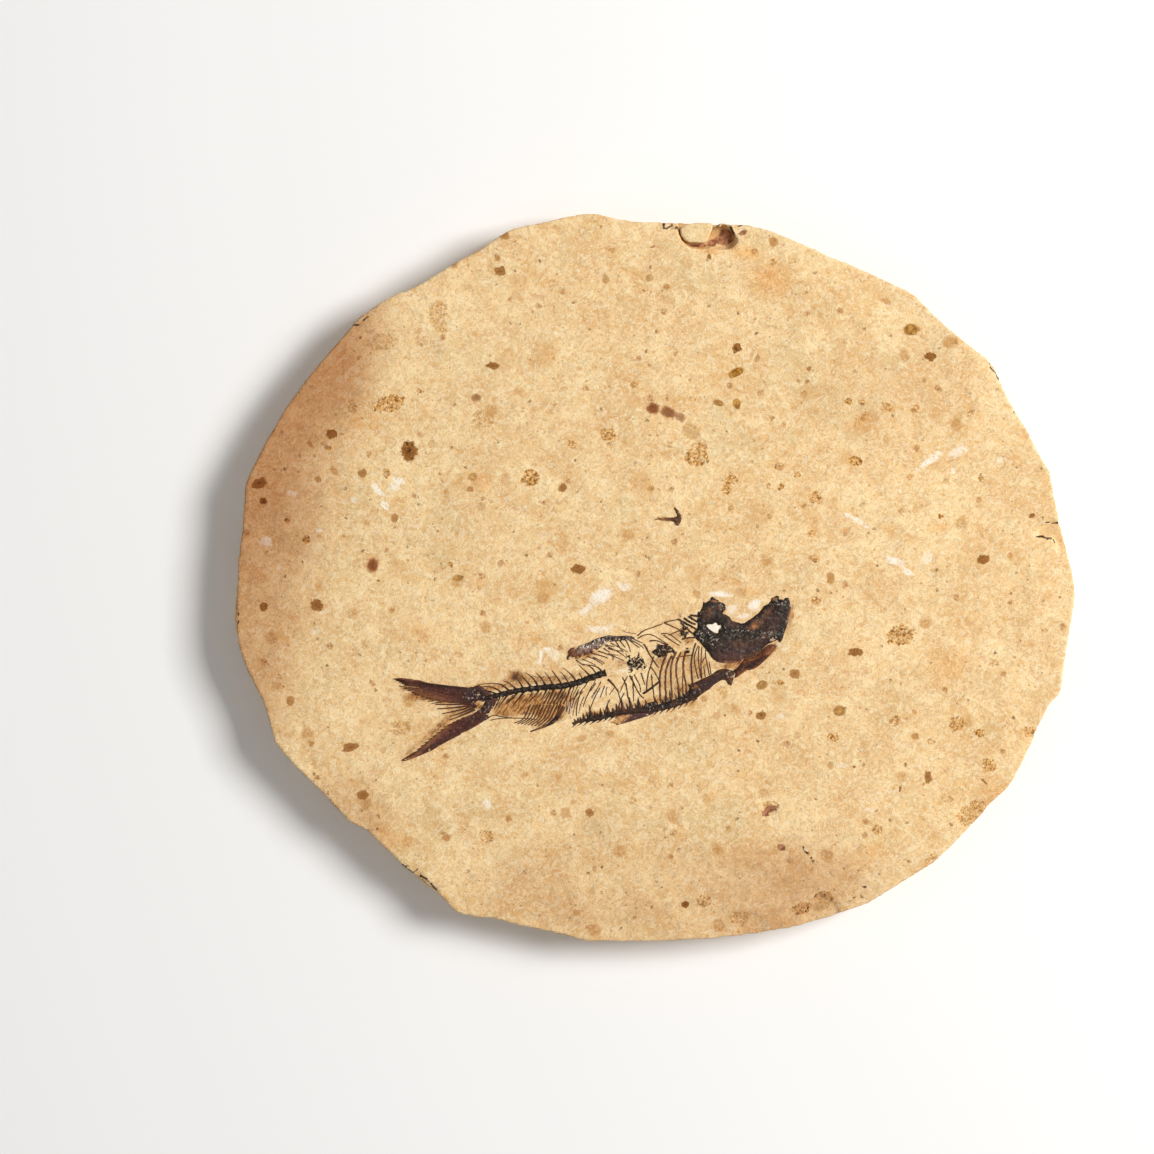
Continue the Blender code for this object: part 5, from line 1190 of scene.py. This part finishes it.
NAPE_STROKES = (
    (0.09, 0.07, (-1.9, -6.5), (-1.5, -6.0), (-0.6, -5.65), (0.6, -5.3), (0.9, -5.1)),
    (0.09, 0.07, (1.0, -5.0), (2.0, -4.75), (2.8, -4.6)),
    (0.09, 0.07, (1.0, -5.0), (2.0, -5.4), (2.9, -5.9)),
    (0.14, 0.11, (2.6, -4.6), (3.3, -5.0), (4.3, -5.5), (4.9, -5.9)),
    (0.14, 0.11, (3.3, -4.5), (3.9, -5.0), (4.6, -5.2)),
    (0.14, 0.11, (3.8, -4.3), (4.5, -4.8), (4.95, -5.0)),
    (0.14, 0.12, (4.0, -4.15), (4.9, -4.3)),
    (0.13, 0.1, (2.9, -5.0), (3.5, -5.5), (4.1, -6.2), (4.6, -6.4)),
    (0.12, 0.08, (3.1, -6.9), (3.8, -6.6), (4.6, -6.7)),
    (0.08, 0.06, (0.7, -6.3), (1.4, -5.95), (2.2, -6.6), (3.0, -7.3)),
    (0.08, 0.06, (1.0, -6.4), (2.0, -7.1), (2.8, -7.6)),
    (0.08, 0.06, (-1.9, -6.8), (-1.0, -6.2), (-0.2, -6.3), (0.6, -6.9), (1.6, -7.5)),
    (0.09, 0.07, (-0.6, -7.1), (0.1, -6.8), (0.9, -7.2), (1.9, -7.9)),
    (0.09, 0.07, (1.6, -6.4), (2.4, -6.0), (3.0, -5.9)),
    (0.05, 0.04, (-3.6, -5.9), (-2.8, -6.3), (-2.0, -6.2)),
    (0.09, 0.07, (2.4, -9.0), (2.9, -8.7), (3.6, -8.8), (4.3, -8.6)),
)
KEEL = (
    (-9.2, -16.3), (-8.5, -16.05), (-7.5, -15.9), (-6.5, -15.8), (-5.5, -15.5), (-4.5, -15.2), (-3.5, -15.0),
    (-2.0, -14.85), (-0.5, -14.75), (0.5, -14.55), (1.5, -14.3), (2.5, -13.95), (3.5, -13.55), (4.2, -13.2),
)
KEEL_ARMS = (
    (-8.6, -15.55, 0.09), (-8.0, -15.1, 0.11), (-7.3, -14.1, 0.13), (-6.7, -14.9, 0.13), (-6.1, -14.5, 0.13),
    (-5.3, -14.1, 0.13), (-4.7, -14.5, 0.12), (-4.3, -14.0, 0.13), (-3.7, -13.5, 0.14), (-2.8, -13.3, 0.14),
    (-1.85, -13.3, 0.15), (-1.0, -13.6, 0.14), (0.1, -13.4, 0.16), (1.2, -12.9, 0.13), (1.7, -12.4, 0.12),
    (2.6, -11.9, 0.12), (3.5, -12.0, 0.12),
)


def keel_height(x):
    """Where the keel's middle line lies, across the slab, at a place along it."""
    return float(np.interp(x, [p[0] for p in KEEL], [p[1] for p in KEEL]))


TEETH = 20  # barbs along the keel's lower edge
keel_strokes = [(0.14, 0.5, *KEEL), (0.3, 0.3, (-1.0, -14.5), (-0.3, -14.0), (0.3, -14.2))]
for x, top, width in KEEL_ARMS:
    rise = top - keel_height(x)
    foot = x + 0.14 * rise
    keel_strokes.append((
        2.1 * width, 0.03, (foot, keel_height(x) + 0.1), (foot - 0.05, keel_height(x) + 0.3 * rise),
        (x, keel_height(x) + 0.65 * rise), (x, top),
    ))
    keel_strokes.append((
        1.4 * width, 0.03, (foot - 0.35, keel_height(x)), (foot - 0.4, keel_height(x) + 0.3 * rise),
        (x - 0.42, keel_height(x) + 0.55 * rise),
    ))
for tooth in range(TEETH):
    x = -9.0 + 0.7 * tooth
    half = 0.13 + 0.4 * tooth / (TEETH - 1)
    keel_strokes.append((
        0.13, 0.025, (x + 0.45, keel_height(x + 0.45) - 0.4 * half), (x + 0.05, keel_height(x) - half - 0.08),
        (x - 0.4, keel_height(x - 0.4) - half - 0.42),
    ))
ribs = bone_strokes("rib_bones", tuple(keel_strokes) + RIB_STROKES + NAPE_STROKES, squash=0.75)
finish_modifier(ribs, "REMESH", mode="VOXEL", voxel_size=0.05 * MM, use_smooth_shade=True)
roughen(ribs, 0.04, 0.3)
tone(ribs, "dark", 0.64, (
    (2.6, -10.4, 2.0, 2.2, 0, 0.52), (-1.7, -12.2, 2.2, 1.4, 0, 0.85), (-6.0, -12.6, 2.2, 1.0, 0, 0.6),
    (4.2, -5.0, 1.3, 0.9, 0, 0.95), (0.0, -6.3, 2.6, 1.1, 0, 0.62), (-8.6, -14.0, 0.9, 1.4, 0, 0.55),
    (-0.4, -12.3, 1.2, 0.4, 40, 0.97), (-6.0, -15.7, 3.4, 0.9, 8, 0.97), (0.0, -14.5, 3.4, 0.8, 10, 0.97),
    (3.4, -13.4, 1.2, 0.7, 20, 0.97), (-2.0, -13.9, 1.8, 0.6, 0, 0.9),
), amount=0.2)
tone(ribs, "tint", 0.1, ((1.0, -14.8, 3.5, 0.4, 12, 0.4), (6.6, -11.7, 1.6, 0.6, 30, 0.6)), amount=0.1)
tone(ribs, "flecks", 0.15, ((0.0, -14.3, 1.2, 0.7, 0, 0.9), (3.0, -13.6, 1.2, 0.6, 20, 0.8)), amount=0.2)
ribs.data.materials.append(bone_black)
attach(ribs, "root")
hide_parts("rib_basket")

# The dorsal fin: a low folded web of fossil bone on the back, lilac-grey with chalky grains over a
# black upper edge, and the loose slanted rays that have slipped out of it below. It is pressed flat
# into the face.

DORSAL_EDGE = (
    (-2.2, -6.72), (-2.6, -6.5), (-3.4, -6.48), (-4.5, -6.5), (-5.1, -6.42), (-5.7, -6.55), (-6.4, -6.75),
    (-7.0, -7.0), (-7.6, -7.3), (-8.2, -7.5), (-8.9, -7.75), (-9.4, -7.85), (-9.75, -8.15), (-9.6, -8.5),
    (-9.9, -8.85), (-9.8, -9.2), (-9.3, -9.1), (-8.8, -9.05), (-8.2, -8.85), (-7.5, -8.6), (-6.9, -8.3),
    (-6.4, -8.05), (-6.0, -7.75), (-5.5, -7.4), (-4.8, -7.15), (-4.0, -7.05), (-3.2, -7.0), (-2.6, -6.95),
)
DORSAL_STROKES = (
    (0.09, 0.06, (-2.3, -6.7), (-3.6, -6.55), (-5.0, -6.55), (-6.4, -6.9), (-7.8, -7.45)),
    (0.075, 0.045, (-5.5, -7.5), (-4.5, -7.7)),
    (0.075, 0.045, (-5.7, -7.9), (-5.0, -8.35)),
    (0.075, 0.045, (-5.2, -7.9), (-4.3, -8.2), (-3.5, -8.2)),
    (0.075, 0.045, (-4.4, -7.0), (-3.9, -7.9), (-3.5, -8.3)),
    (0.075, 0.045, (-3.9, -7.0), (-3.3, -7.8)),
    (0.075, 0.045, (-3.3, -6.9), (-2.8, -7.6), (-2.7, -8.3)),
    (0.075, 0.045, (-2.9, -6.9), (-2.2, -7.5), (-1.7, -7.8)),
    (0.075, 0.045, (-5.2, -8.5), (-4.6, -8.65), (-4.1, -8.65)),
    (0.085, 0.05, (-7.1, -8.4), (-6.4, -8.6), (-5.6, -8.8), (-5.2, -9.0)),
    (0.085, 0.05, (-6.9, -8.9), (-6.0, -9.2), (-5.6, -9.6)),
    (0.075, 0.045, (-8.8, -9.2), (-8.3, -9.6), (-7.9, -9.8)),
    (0.07, 0.04, (-2.4, -6.8), (-1.9, -7.1), (-1.3, -7.3)),
    (0.07, 0.04, (-5.5, -7.6), (-4.6, -7.95), (-3.6, -8.5), (-3.1, -9.0)),
    (0.07, 0.04, (-4.9, -7.3), (-3.9, -7.8), (-3.0, -8.3)),
    (0.07, 0.04, (-6.3, -8.2), (-5.1, -8.6), (-4.1, -8.9), (-3.4, -9.3)),
    (0.06, 0.04, (-7.5, -8.8), (-6.4, -9.2), (-5.8, -9.7)),
    (0.06, 0.04, (-8.1, -9.1), (-7.2, -9.4), (-6.6, -9.8)),
    (0.07, 0.04, (-2.9, -6.9), (-1.9, -7.2), (-1.2, -7.9)),
)
dorsal_web = pressed_bone(
    "dorsal_fin_bones", [DORSAL_EDGE], thick=0.2, taper=0.3, rough=0.09,
    swellings=((-9.4, -8.4, 0.5, 0.5, 0, 0.15), (-4.5, -6.75, 2.0, 0.15, 0, 0.1)),
)
web_points = points_of(dorsal_web)
pierce(dorsal_web, blots(web_points, 0.12, (
    (-8.0, -8.75, 1.4, 0.35, 15, 0.5), (-5.4, -7.35, 1.4, 0.25, 18, 0.45), (-9.6, -8.9, 0.5, 0.4, 0, 0.5),
    (-8.6, -7.8, 0.9, 0.2, 15, 0.4),
)), size=0.26, length=1.8, turn=50.0, seed=3.0)
dorsal = join_pieces("dorsal_fin_bones", dorsal_web, bone_strokes("dorsal_ray_rods", DORSAL_STROKES))
tone(dorsal, "dark", 0.72, (
    (-4.4, -6.6, 2.4, 0.16, 0, 1.0), (-7.0, -7.15, 1.6, 0.14, -28, 0.95), (-6.8, -7.75, 1.5, 0.5, 28, 0.3),
    (-8.2, -8.1, 0.8, 0.4, 20, 0.35), (-9.4, -8.4, 0.55, 0.6, 0, 0.85), (-3.2, -6.85, 0.9, 0.2, 0, 0.8),
    (-5.0, -8.3, 2.2, 0.9, 0, 0.7), (-7.4, -8.5, 1.4, 0.25, 25, 0.8),
), size=0.3, amount=0.55)
tone(dorsal, "tint", 0.05, (
    (-9.3, -8.4, 0.9, 0.7, 0, 0.95), (-8.0, -8.6, 1.5, 0.35, 20, 1.0), (-6.9, -8.0, 0.8, 0.22, 25, 0.6),
    (-5.5, -8.6, 3.0, 1.0, -10, 0.6),
), amount=0.1)
tone(dorsal, "flecks", 0.2, (
    (-7.3, -7.55, 1.6, 0.35, 25, 1.0), (-5.8, -7.4, 0.7, 0.5, 0, 1.0), (-4.2, -6.9, 1.2, 0.2, 0, 0.5),
    (-9.3, -8.4, 0.8, 0.6, 0, 0.05), (-8.2, -8.65, 1.3, 0.25, 20, 0.05), (-5.0, -8.4, 2.0, 0.6, 0, 0.0),
), amount=0.15)
dorsal.data.materials.append(bone_finish(
    "fin_lilac_grey",
    ((0.0, 196, 176, 158), (0.3, 150, 130, 120), (0.55, 116, 94, 84), (0.8, 74, 58, 52), (1.0, 42, 34, 34)),
    tint=paint(116, 70, 44), fleck=paint(246, 238, 228), flecked=0.95, spread_from=0.54,
))
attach(dorsal, "root")
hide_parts("dorsal_fin")

# The anal fin: rays of brown fossil bone, a dark thick one in front and ten finer ones that sweep back
# from it, with the long bases between them and the backbone. They are pressed into the face.

anal_strokes = [
    (0.17, 0.08, (-10.15, -14.4), (-10.5, -15.2), (-10.9, -15.9), (-11.6, -16.4), (-12.8, -16.85),
     (-13.9, -17.2)),
    (0.13, 0.07, (-10.35, -14.6), (-10.75, -15.4), (-11.2, -16.0), (-12.0, -16.45), (-13.4, -17.0)),
]
for ray in range(10):
    x = -13.9 + 0.38 * ray
    sweep = 16.25 + 0.055 * ray
    anal_strokes.append((
        0.085, 0.055, (x, -14.2), (x - 0.3, -14.8), (x - 0.45, -15.2), (x - 0.75, -15.8),
        (x - 1.15, -16.05), (x - 1.8, -sweep),
    ))
for ray in range(7):
    x = -12.6 + 0.36 * ray
    anal_strokes.append((0.07, 0.07, (x + 0.9, -12.8), (x + 0.55, -13.5), (x + 0.2, -14.1)))
anal_strokes += [
    (0.05, 0.05, (-18.4, -15.95), (-17.4, -15.6), (-15.2, -15.65), (-13.2, -15.85)),
    (0.04, 0.04, (-9.9, -13.3), (-9.75, -14.0), (-9.9, -15.0)),
    (0.05, 0.04, (-9.4, -13.2), (-9.35, -14.1), (-9.6, -15.2)),
]
anal = bone_strokes("anal_fin_bones", anal_strokes, squash=0.6)
tone(anal, "dark", 0.62, (
    (-11.3, -16.0, 1.0, 0.35, 40, 0.95), (-13.4, -16.9, 1.4, 0.25, 15, 0.5),
    (-13.6, -16.3, 1.2, 0.4, 10, 0.45), (-11.5, -13.6, 1.8, 0.8, 0, 0.7),
), amount=0.15)
tone(anal, "tint", 0.1, (), amount=0.1)
tone(anal, "flecks", 0.2, ((-11.2, -16.1, 0.6, 0.4, 0, 0.7),), amount=0.2)
anal.data.materials.append(bone_finish(
    "fin_ray_brown",
    ((0.0, 216, 164, 106), (0.3, 158, 106, 60), (0.55, 108, 70, 44), (0.8, 66, 46, 36), (1.0, 40, 30, 28)),
    tint=paint(92, 58, 50), fleck=paint(200, 170, 130), flecked=0.5,
))
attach(anal, "root")
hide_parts("anal_fin")

# The pelvic fin: a short purple-brown band of fossil bone under the keel, and behind it an amber
# tongue of thinner web, worn through in places. It is pressed into the face like the rest.

PELVIC_EDGE = (
    (0.1, -14.85), (-1.2, -14.95), (-2.0, -15.0), (-2.9, -15.1), (-3.5, -15.2), (-4.2, -15.4),
    (-4.8, -15.65), (-5.1, -15.95), (-4.9, -16.2), (-4.3, -16.4), (-3.6, -16.35), (-2.9, -16.15),
    (-2.3, -15.95), (-1.6, -15.75), (-0.9, -15.5), (-0.1, -15.2),
)
pelvic_web = pressed_bone("pelvic_fin_bones", [PELVIC_EDGE], thick=0.11, taper=0.3)
pierce(pelvic_web, blots(points_of(pelvic_web), 0.0, (
    (-4.6, -15.9, 0.7, 0.4, 20, 0.6), (-4.0, -16.35, 0.9, 0.12, 10, 0.5),
)), size=0.2, length=4.0, turn=18.0, seed=3.0)
pelvic_rays = bone_strokes("pelvic_ray_rods", (
    (0.09, 0.04, (-0.9, -15.4), (-2.2, -15.85), (-3.2, -16.2), (-4.3, -16.45)),
    (0.07, 0.03, (-1.0, -15.1), (-2.4, -15.3), (-3.6, -15.8), (-4.6, -16.1)),
    (0.07, 0.03, (-1.4, -15.3), (-2.8, -15.6), (-3.9, -16.1)),
))
pelvic = join_pieces("pelvic_fin_bones", pelvic_web, pelvic_rays)
tone(pelvic, "dark", 0.85, (
    (-4.1, -15.95, 1.5, 0.5, 22, 0.0), (-2.9, -15.45, 0.3, 0.15, 0, 0.1), (-3.4, -16.3, 0.9, 0.1, 14, 0.5),
), size=0.35, amount=0.15)
tone(pelvic, "tint", 0.3, ((-1.6, -15.4, 1.6, 0.5, 15, 0.8), (-4.3, -15.9, 1.2, 0.4, 22, 0.0)), amount=0.1)
tone(pelvic, "flecks", 0.1, ((-2.9, -15.45, 0.4, 0.2, 0, 1.0),), amount=0.1)
pelvic.data.materials.append(bone_finish(
    "fin_amber_brown",
    ((0.0, 218, 166, 108), (0.3, 180, 122, 72), (0.55, 118, 76, 52), (0.8, 72, 50, 42), (1.0, 44, 32, 30)),
    tint=paint(92, 60, 60), fleck=paint(245, 232, 212), flecked=0.8,
))
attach(pelvic, "root")
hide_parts("pelvic_fin")

# The tail fin: two lobes of fossil rays bound by a thin web, black at the root and along the outer
# edges, maroon between, and frayed to amber where the rays run out. A few loose rays lie in the fork.
# All of it is pressed into the face.

UPPER_LOBE = (
    (-29.2, -11.25), (-28.4, -11.2), (-27.4, -11.3), (-26.4, -11.45), (-25.2, -11.8), (-24.0, -12.05),
    (-23.0, -12.2), (-22.0, -12.35), (-21.0, -12.35), (-20.3, -12.1), (-19.6, -12.0), (-18.9, -12.5),
    (-18.3, -12.9), (-18.2, -13.4), (-18.9, -13.75), (-19.7, -13.75), (-20.3, -13.95), (-20.9, -13.7),
    (-21.6, -13.8), (-22.2, -13.5), (-22.9, -13.5), (-23.6, -13.15), (-24.4, -13.05), (-25.0, -12.75),
    (-25.8, -12.6), (-26.5, -12.2), (-27.4, -11.95), (-28.2, -11.65), (-28.9, -11.5),
)
LOWER_LOBE = (
    (-18.9, -13.6), (-19.3, -14.5), (-19.8, -14.95), (-20.4, -15.25), (-21.1, -15.6), (-21.9, -16.0),
    (-22.7, -16.4), (-23.4, -16.75), (-24.1, -17.25), (-24.8, -17.8), (-25.5, -18.4), (-26.2, -19.0),
    (-27.0, -19.7), (-27.8, -20.15), (-28.4, -20.45), (-28.1, -20.55), (-27.4, -20.35), (-26.5, -20.0),
    (-25.7, -19.65), (-24.9, -19.3), (-24.0, -18.75), (-23.0, -18.2), (-22.0, -17.7), (-21.0, -17.15),
    (-20.1, -16.65), (-19.2, -16.1), (-18.7, -15.5), (-18.3, -14.7), (-17.9, -14.1), (-17.5, -13.6),
    (-18.1, -13.1),
)


def fan(count, radii, root, root_run, tips, bend, sag):
    """Rays from a line of roots to a line of tips, each bent aside by the sag at a share of its length."""
    tip_x, tip_y = zip(*tips)
    places = np.linspace(0.0, 1.0, len(tips))
    strokes = []
    for share in np.linspace(0.0, 1.0, count):
        start = (root[0] + root_run[0] * share, root[1] + root_run[1] * share)
        far = (np.interp(share, places, tip_x), np.interp(share, places, tip_y))
        middle = [(1 - bend) * s + bend * f + aside for s, f, aside in zip(start, far, sag)]
        strokes.append((*radii, start, middle, far))
    return strokes


UPPER_TIPS = ((-29.2, -11.3), (-28.0, -12.0), (-26.5, -13.0), (-25.2, -13.5), (-23.4, -13.8))
LOWER_TIPS = ((-28.3, -20.4), (-27.0, -19.6), (-25.3, -18.1), (-23.6, -16.7), (-21.6, -15.7))
FRAYED_TIPS = ((-24.9, -14.05), (-28.6, -12.1))
tail_strokes = fan(17, (0.1, 0.055), (-20.4, -12.4), (-0.3, -1.35), UPPER_TIPS, 0.4, (0.0, -0.12))
tail_strokes += fan(17, (0.075, 0.05), (-18.6, -15.5), (-1.0, 0.7), LOWER_TIPS, 0.4, (0.1, -0.25))
tail_strokes += fan(9, (0.08, 0.04), (-22.0, -13.5), (-2.2, 0.6), FRAYED_TIPS, 0.5, (0.0, -0.06))
tail_strokes += [
    (0.09, 0.09, (-19.85, -15.5), (-19.95, -15.2), (-20.3, -15.25), (-20.45, -15.55), (-20.2, -15.8),
     (-19.9, -15.65)),
    (0.12, 0.05, (-20.0, -13.85), (-21.6, -13.95), (-22.9, -13.9), (-24.3, -13.75), (-25.6, -13.5)),
    (0.12, 0.05, (-20.2, -14.0), (-21.9, -14.2), (-23.0, -14.2), (-24.5, -14.15)),
    (0.12, 0.05, (-20.2, -14.15), (-21.3, -14.4), (-22.4, -14.5), (-23.2, -14.6), (-24.3, -14.65)),
    (0.12, 0.05, (-20.0, -14.2), (-20.7, -14.4), (-21.3, -14.75), (-22.3, -14.9), (-23.7, -15.2)),
    (0.12, 0.05, (-19.9, -14.35), (-20.8, -14.8), (-21.6, -15.15), (-22.9, -15.5)),
    (0.12, 0.05, (-20.1, -14.75), (-21.2, -15.25), (-22.9, -15.9)),
    (0.09, 0.04, (-25.2, -13.35), (-26.8, -13.0)), (0.09, 0.04, (-25.8, -13.05), (-27.6, -12.55)),
    (0.05, 0.03, (-19.0, -15.95), (-18.3, -15.4), (-17.7, -15.25), (-17.2, -15.6), (-16.0, -15.65)),
]
tail_web = join_pieces(
    "tail_web",
    pressed_bone("upper_lobe", [UPPER_LOBE], thick=0.12, taper=0.35),
    pressed_bone(
        "lower_lobe", [LOWER_LOBE], thick=0.17, taper=0.4,
        swellings=((-19.0, -14.8, 0.9, 0.8, -50, 0.15),),
    ),
)
web_points = points_of(tail_web)
pierce(tail_web, blots(web_points, 0.0, (
    (-24.6, -13.3, 2.6, 0.4, 6, 0.62), (-27.4, -12.0, 1.6, 0.3, 22, 0.5), (-22.0, -13.65, 1.3, 0.3, 0, 0.55),
    (-24.2, -17.0, 3.2, 0.3, 40, 0.5), (-27.2, -19.6, 1.4, 0.3, 38, 0.45), (-20.1, -14.0, 0.7, 0.3, 0, 0.6),
)), size=0.2, length=5.0, turn=4.0, seed=5.0)
tail_rods = bone_strokes("tail_ray_rods", tail_strokes, squash=1.0)
tail_rod_points = points_of(tail_rods)
tail_rod_points[:, 2] += 0.06
set_points(tail_rods, tail_rod_points)
for piece, darker in ((tail_web, 0.0), (tail_rods, 0.1)):
    tone(piece, "dark", 0.6 + 2 * darker, (
        (-27.5, -12.2, 2.0, 0.8, 20, 0.36 + darker), (-25.2, -13.2, 3.2, 0.6, -12, 0.32 + darker),
        (-22.3, -14.2, 2.2, 0.8, 0, 0.6 + darker), (-24.2, -12.15, 3.6, 0.42, -9, 0.93),
        (-20.3, -13.0, 1.9, 1.2, 0, 0.97), (-18.9, -14.7, 1.3, 1.5, -40, 0.97),
        (-20.8, -16.3, 2.4, 0.7, 32, 0.85),
        (-23.8, -16.9, 2.6, 0.5, 40, 0.3 + darker), (-26.4, -19.2, 2.2, 0.5, 42, 0.42 + darker),
        (-23.8, -18.3, 3.2, 0.35, 32, 0.9), (-21.3, -15.55, 1.2, 0.25, 25, 0.45 + darker),
    ), size=0.5, amount=0.15)
tail = join_pieces("tail_fin_bones", tail_web, tail_rods)
tone(tail, "tint", 0.1, (
    (-23.5, -12.9, 3.0, 0.6, -5, 0.6), (-22.6, -17.0, 2.6, 0.7, 38, 0.65), (-20.6, -13.2, 1.0, 0.9, 0, 0.1),
), amount=0.2)
tone(tail, "flecks", 0.15, (
    (-20.4, -13.2, 1.1, 0.9, 0, 1.0), (-19.1, -14.6, 1.0, 1.0, 0, 0.9), (-20.15, -15.5, 0.4, 0.4, 0, 0.9),
), amount=0.25)
tail.data.materials.append(bone_finish(
    "tail_maroon",
    ((0.0, 222, 170, 112), (0.25, 184, 128, 76), (0.45, 140, 90, 60), (0.65, 106, 64, 48),
     (0.8, 82, 50, 40), (1.0, 50, 36, 32)),
    tint=paint(90, 50, 44), fleck=paint(190, 176, 160), flecked=0.75,
))
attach(tail, "root")
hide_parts("tail_fin")

# The stray bone: a small hooked splinter of dark fossil bone on the bare stone above the fish, its
# tail end worn to a light brown. It is sunk in the face like the others.

stray = bone_strokes("stray_bone_hook", (
    (0.32, 0.14, (2.4, 6.05), (2.75, 6.35), (2.85, 6.9), (2.5, 7.45), (2.25, 7.85)),
    (0.26, 0.3, (2.05, 6.45), (2.35, 6.55), (2.7, 6.7)),
    (0.26, 0.1, (2.4, 6.55), (1.7, 6.58), (0.9, 6.6), (0.1, 6.58)),
), squash=0.6)
finish_modifier(stray, "REMESH", mode="VOXEL", voxel_size=0.05 * MM, use_smooth_shade=True)
stray_points = points_of(stray)
stray_points += 0.05 * np.stack([wander(stray_points, 0.3, seed) for seed in (1.0, 4.0, 7.0)], axis=1)
set_points(stray, stray_points)
tone(stray, "dark", 0.66, ((0.6, 6.6, 1.2, 0.4, 0, 0.3),), size=0.4, amount=0.2)
tone(stray, "tint", 0.1, (), amount=0.1)
tone(stray, "flecks", 0.3, (), amount=0.3)
stray.data.materials.append(bone_black)
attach(stray, "root")
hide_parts("stray_bone")

# The stage: a plain pale floor, one broad soft light from the upper right, a weaker one from the
# left and an even sky. The slab lies flat, so the camera looks straight down on it.

bpy.ops.mesh.primitive_plane_add(size=2.4, location=(0.0, 0.0, 0.0))
table_top = bpy.context.object
table_top.name = "floor"
pale_floor, _, floor_shader = new_finish("pale_floor", roughness=0.8, specular=0.2)
floor_shader.inputs["Base Color"].default_value = paint(250, 250, 249)
table_top.data.materials.append(pale_floor)


def soft_light(name, spot, width, power, tint):
    """A square area light at a spot in metres, turned to the middle of the slab."""
    lamp = bpy.data.lights.new(name, "AREA")
    lamp.shape = "SQUARE"
    lamp.size = width
    lamp.energy = power
    lamp.color = tint
    made = bpy.data.objects.new(name, lamp)
    bpy.context.scene.collection.objects.link(made)
    made.location = spot
    made.rotation_euler = (-Vector(spot)).to_track_quat("-Z", "Y").to_euler()


soft_light("window_light", (0.44, 0.132, 0.484), width=0.26, power=4.55, tint=(1.0, 0.985, 0.97))
soft_light("fill_light", (-0.5, -0.2, 0.6), width=0.6, power=0.5, tint=(1.0, 1.0, 1.0))
sky = bpy.data.worlds.new("studio")
sky.use_nodes = True
sky.node_tree.nodes["Background"].inputs["Color"].default_value = (1.0, 1.0, 1.0, 1.0)
sky.node_tree.nodes["Background"].inputs["Strength"].default_value = 0.26
bpy.context.scene.world = sky
bpy.context.scene.view_settings.view_transform = "Standard"

PHOTO_WIDTH = 129.2  # what the photograph's frame takes in at the height of the face
PHOTO_MIDDLE = (-8.7, 0.1)
CAMERA_ABOVE = 350.0  # from the face to the lens
lens = bpy.data.cameras.new("camera")
lens.sensor_width = 36.0
lens.lens = 36.0 * CAMERA_ABOVE / PHOTO_WIDTH
lens.clip_start = 0.01
camera = bpy.data.objects.new("camera", lens)
camera.location = (PHOTO_MIDDLE[0] * MM, PHOTO_MIDDLE[1] * MM, (FACE + CAMERA_ABOVE) * MM)
bpy.context.scene.collection.objects.link(camera)
bpy.context.scene.camera = camera
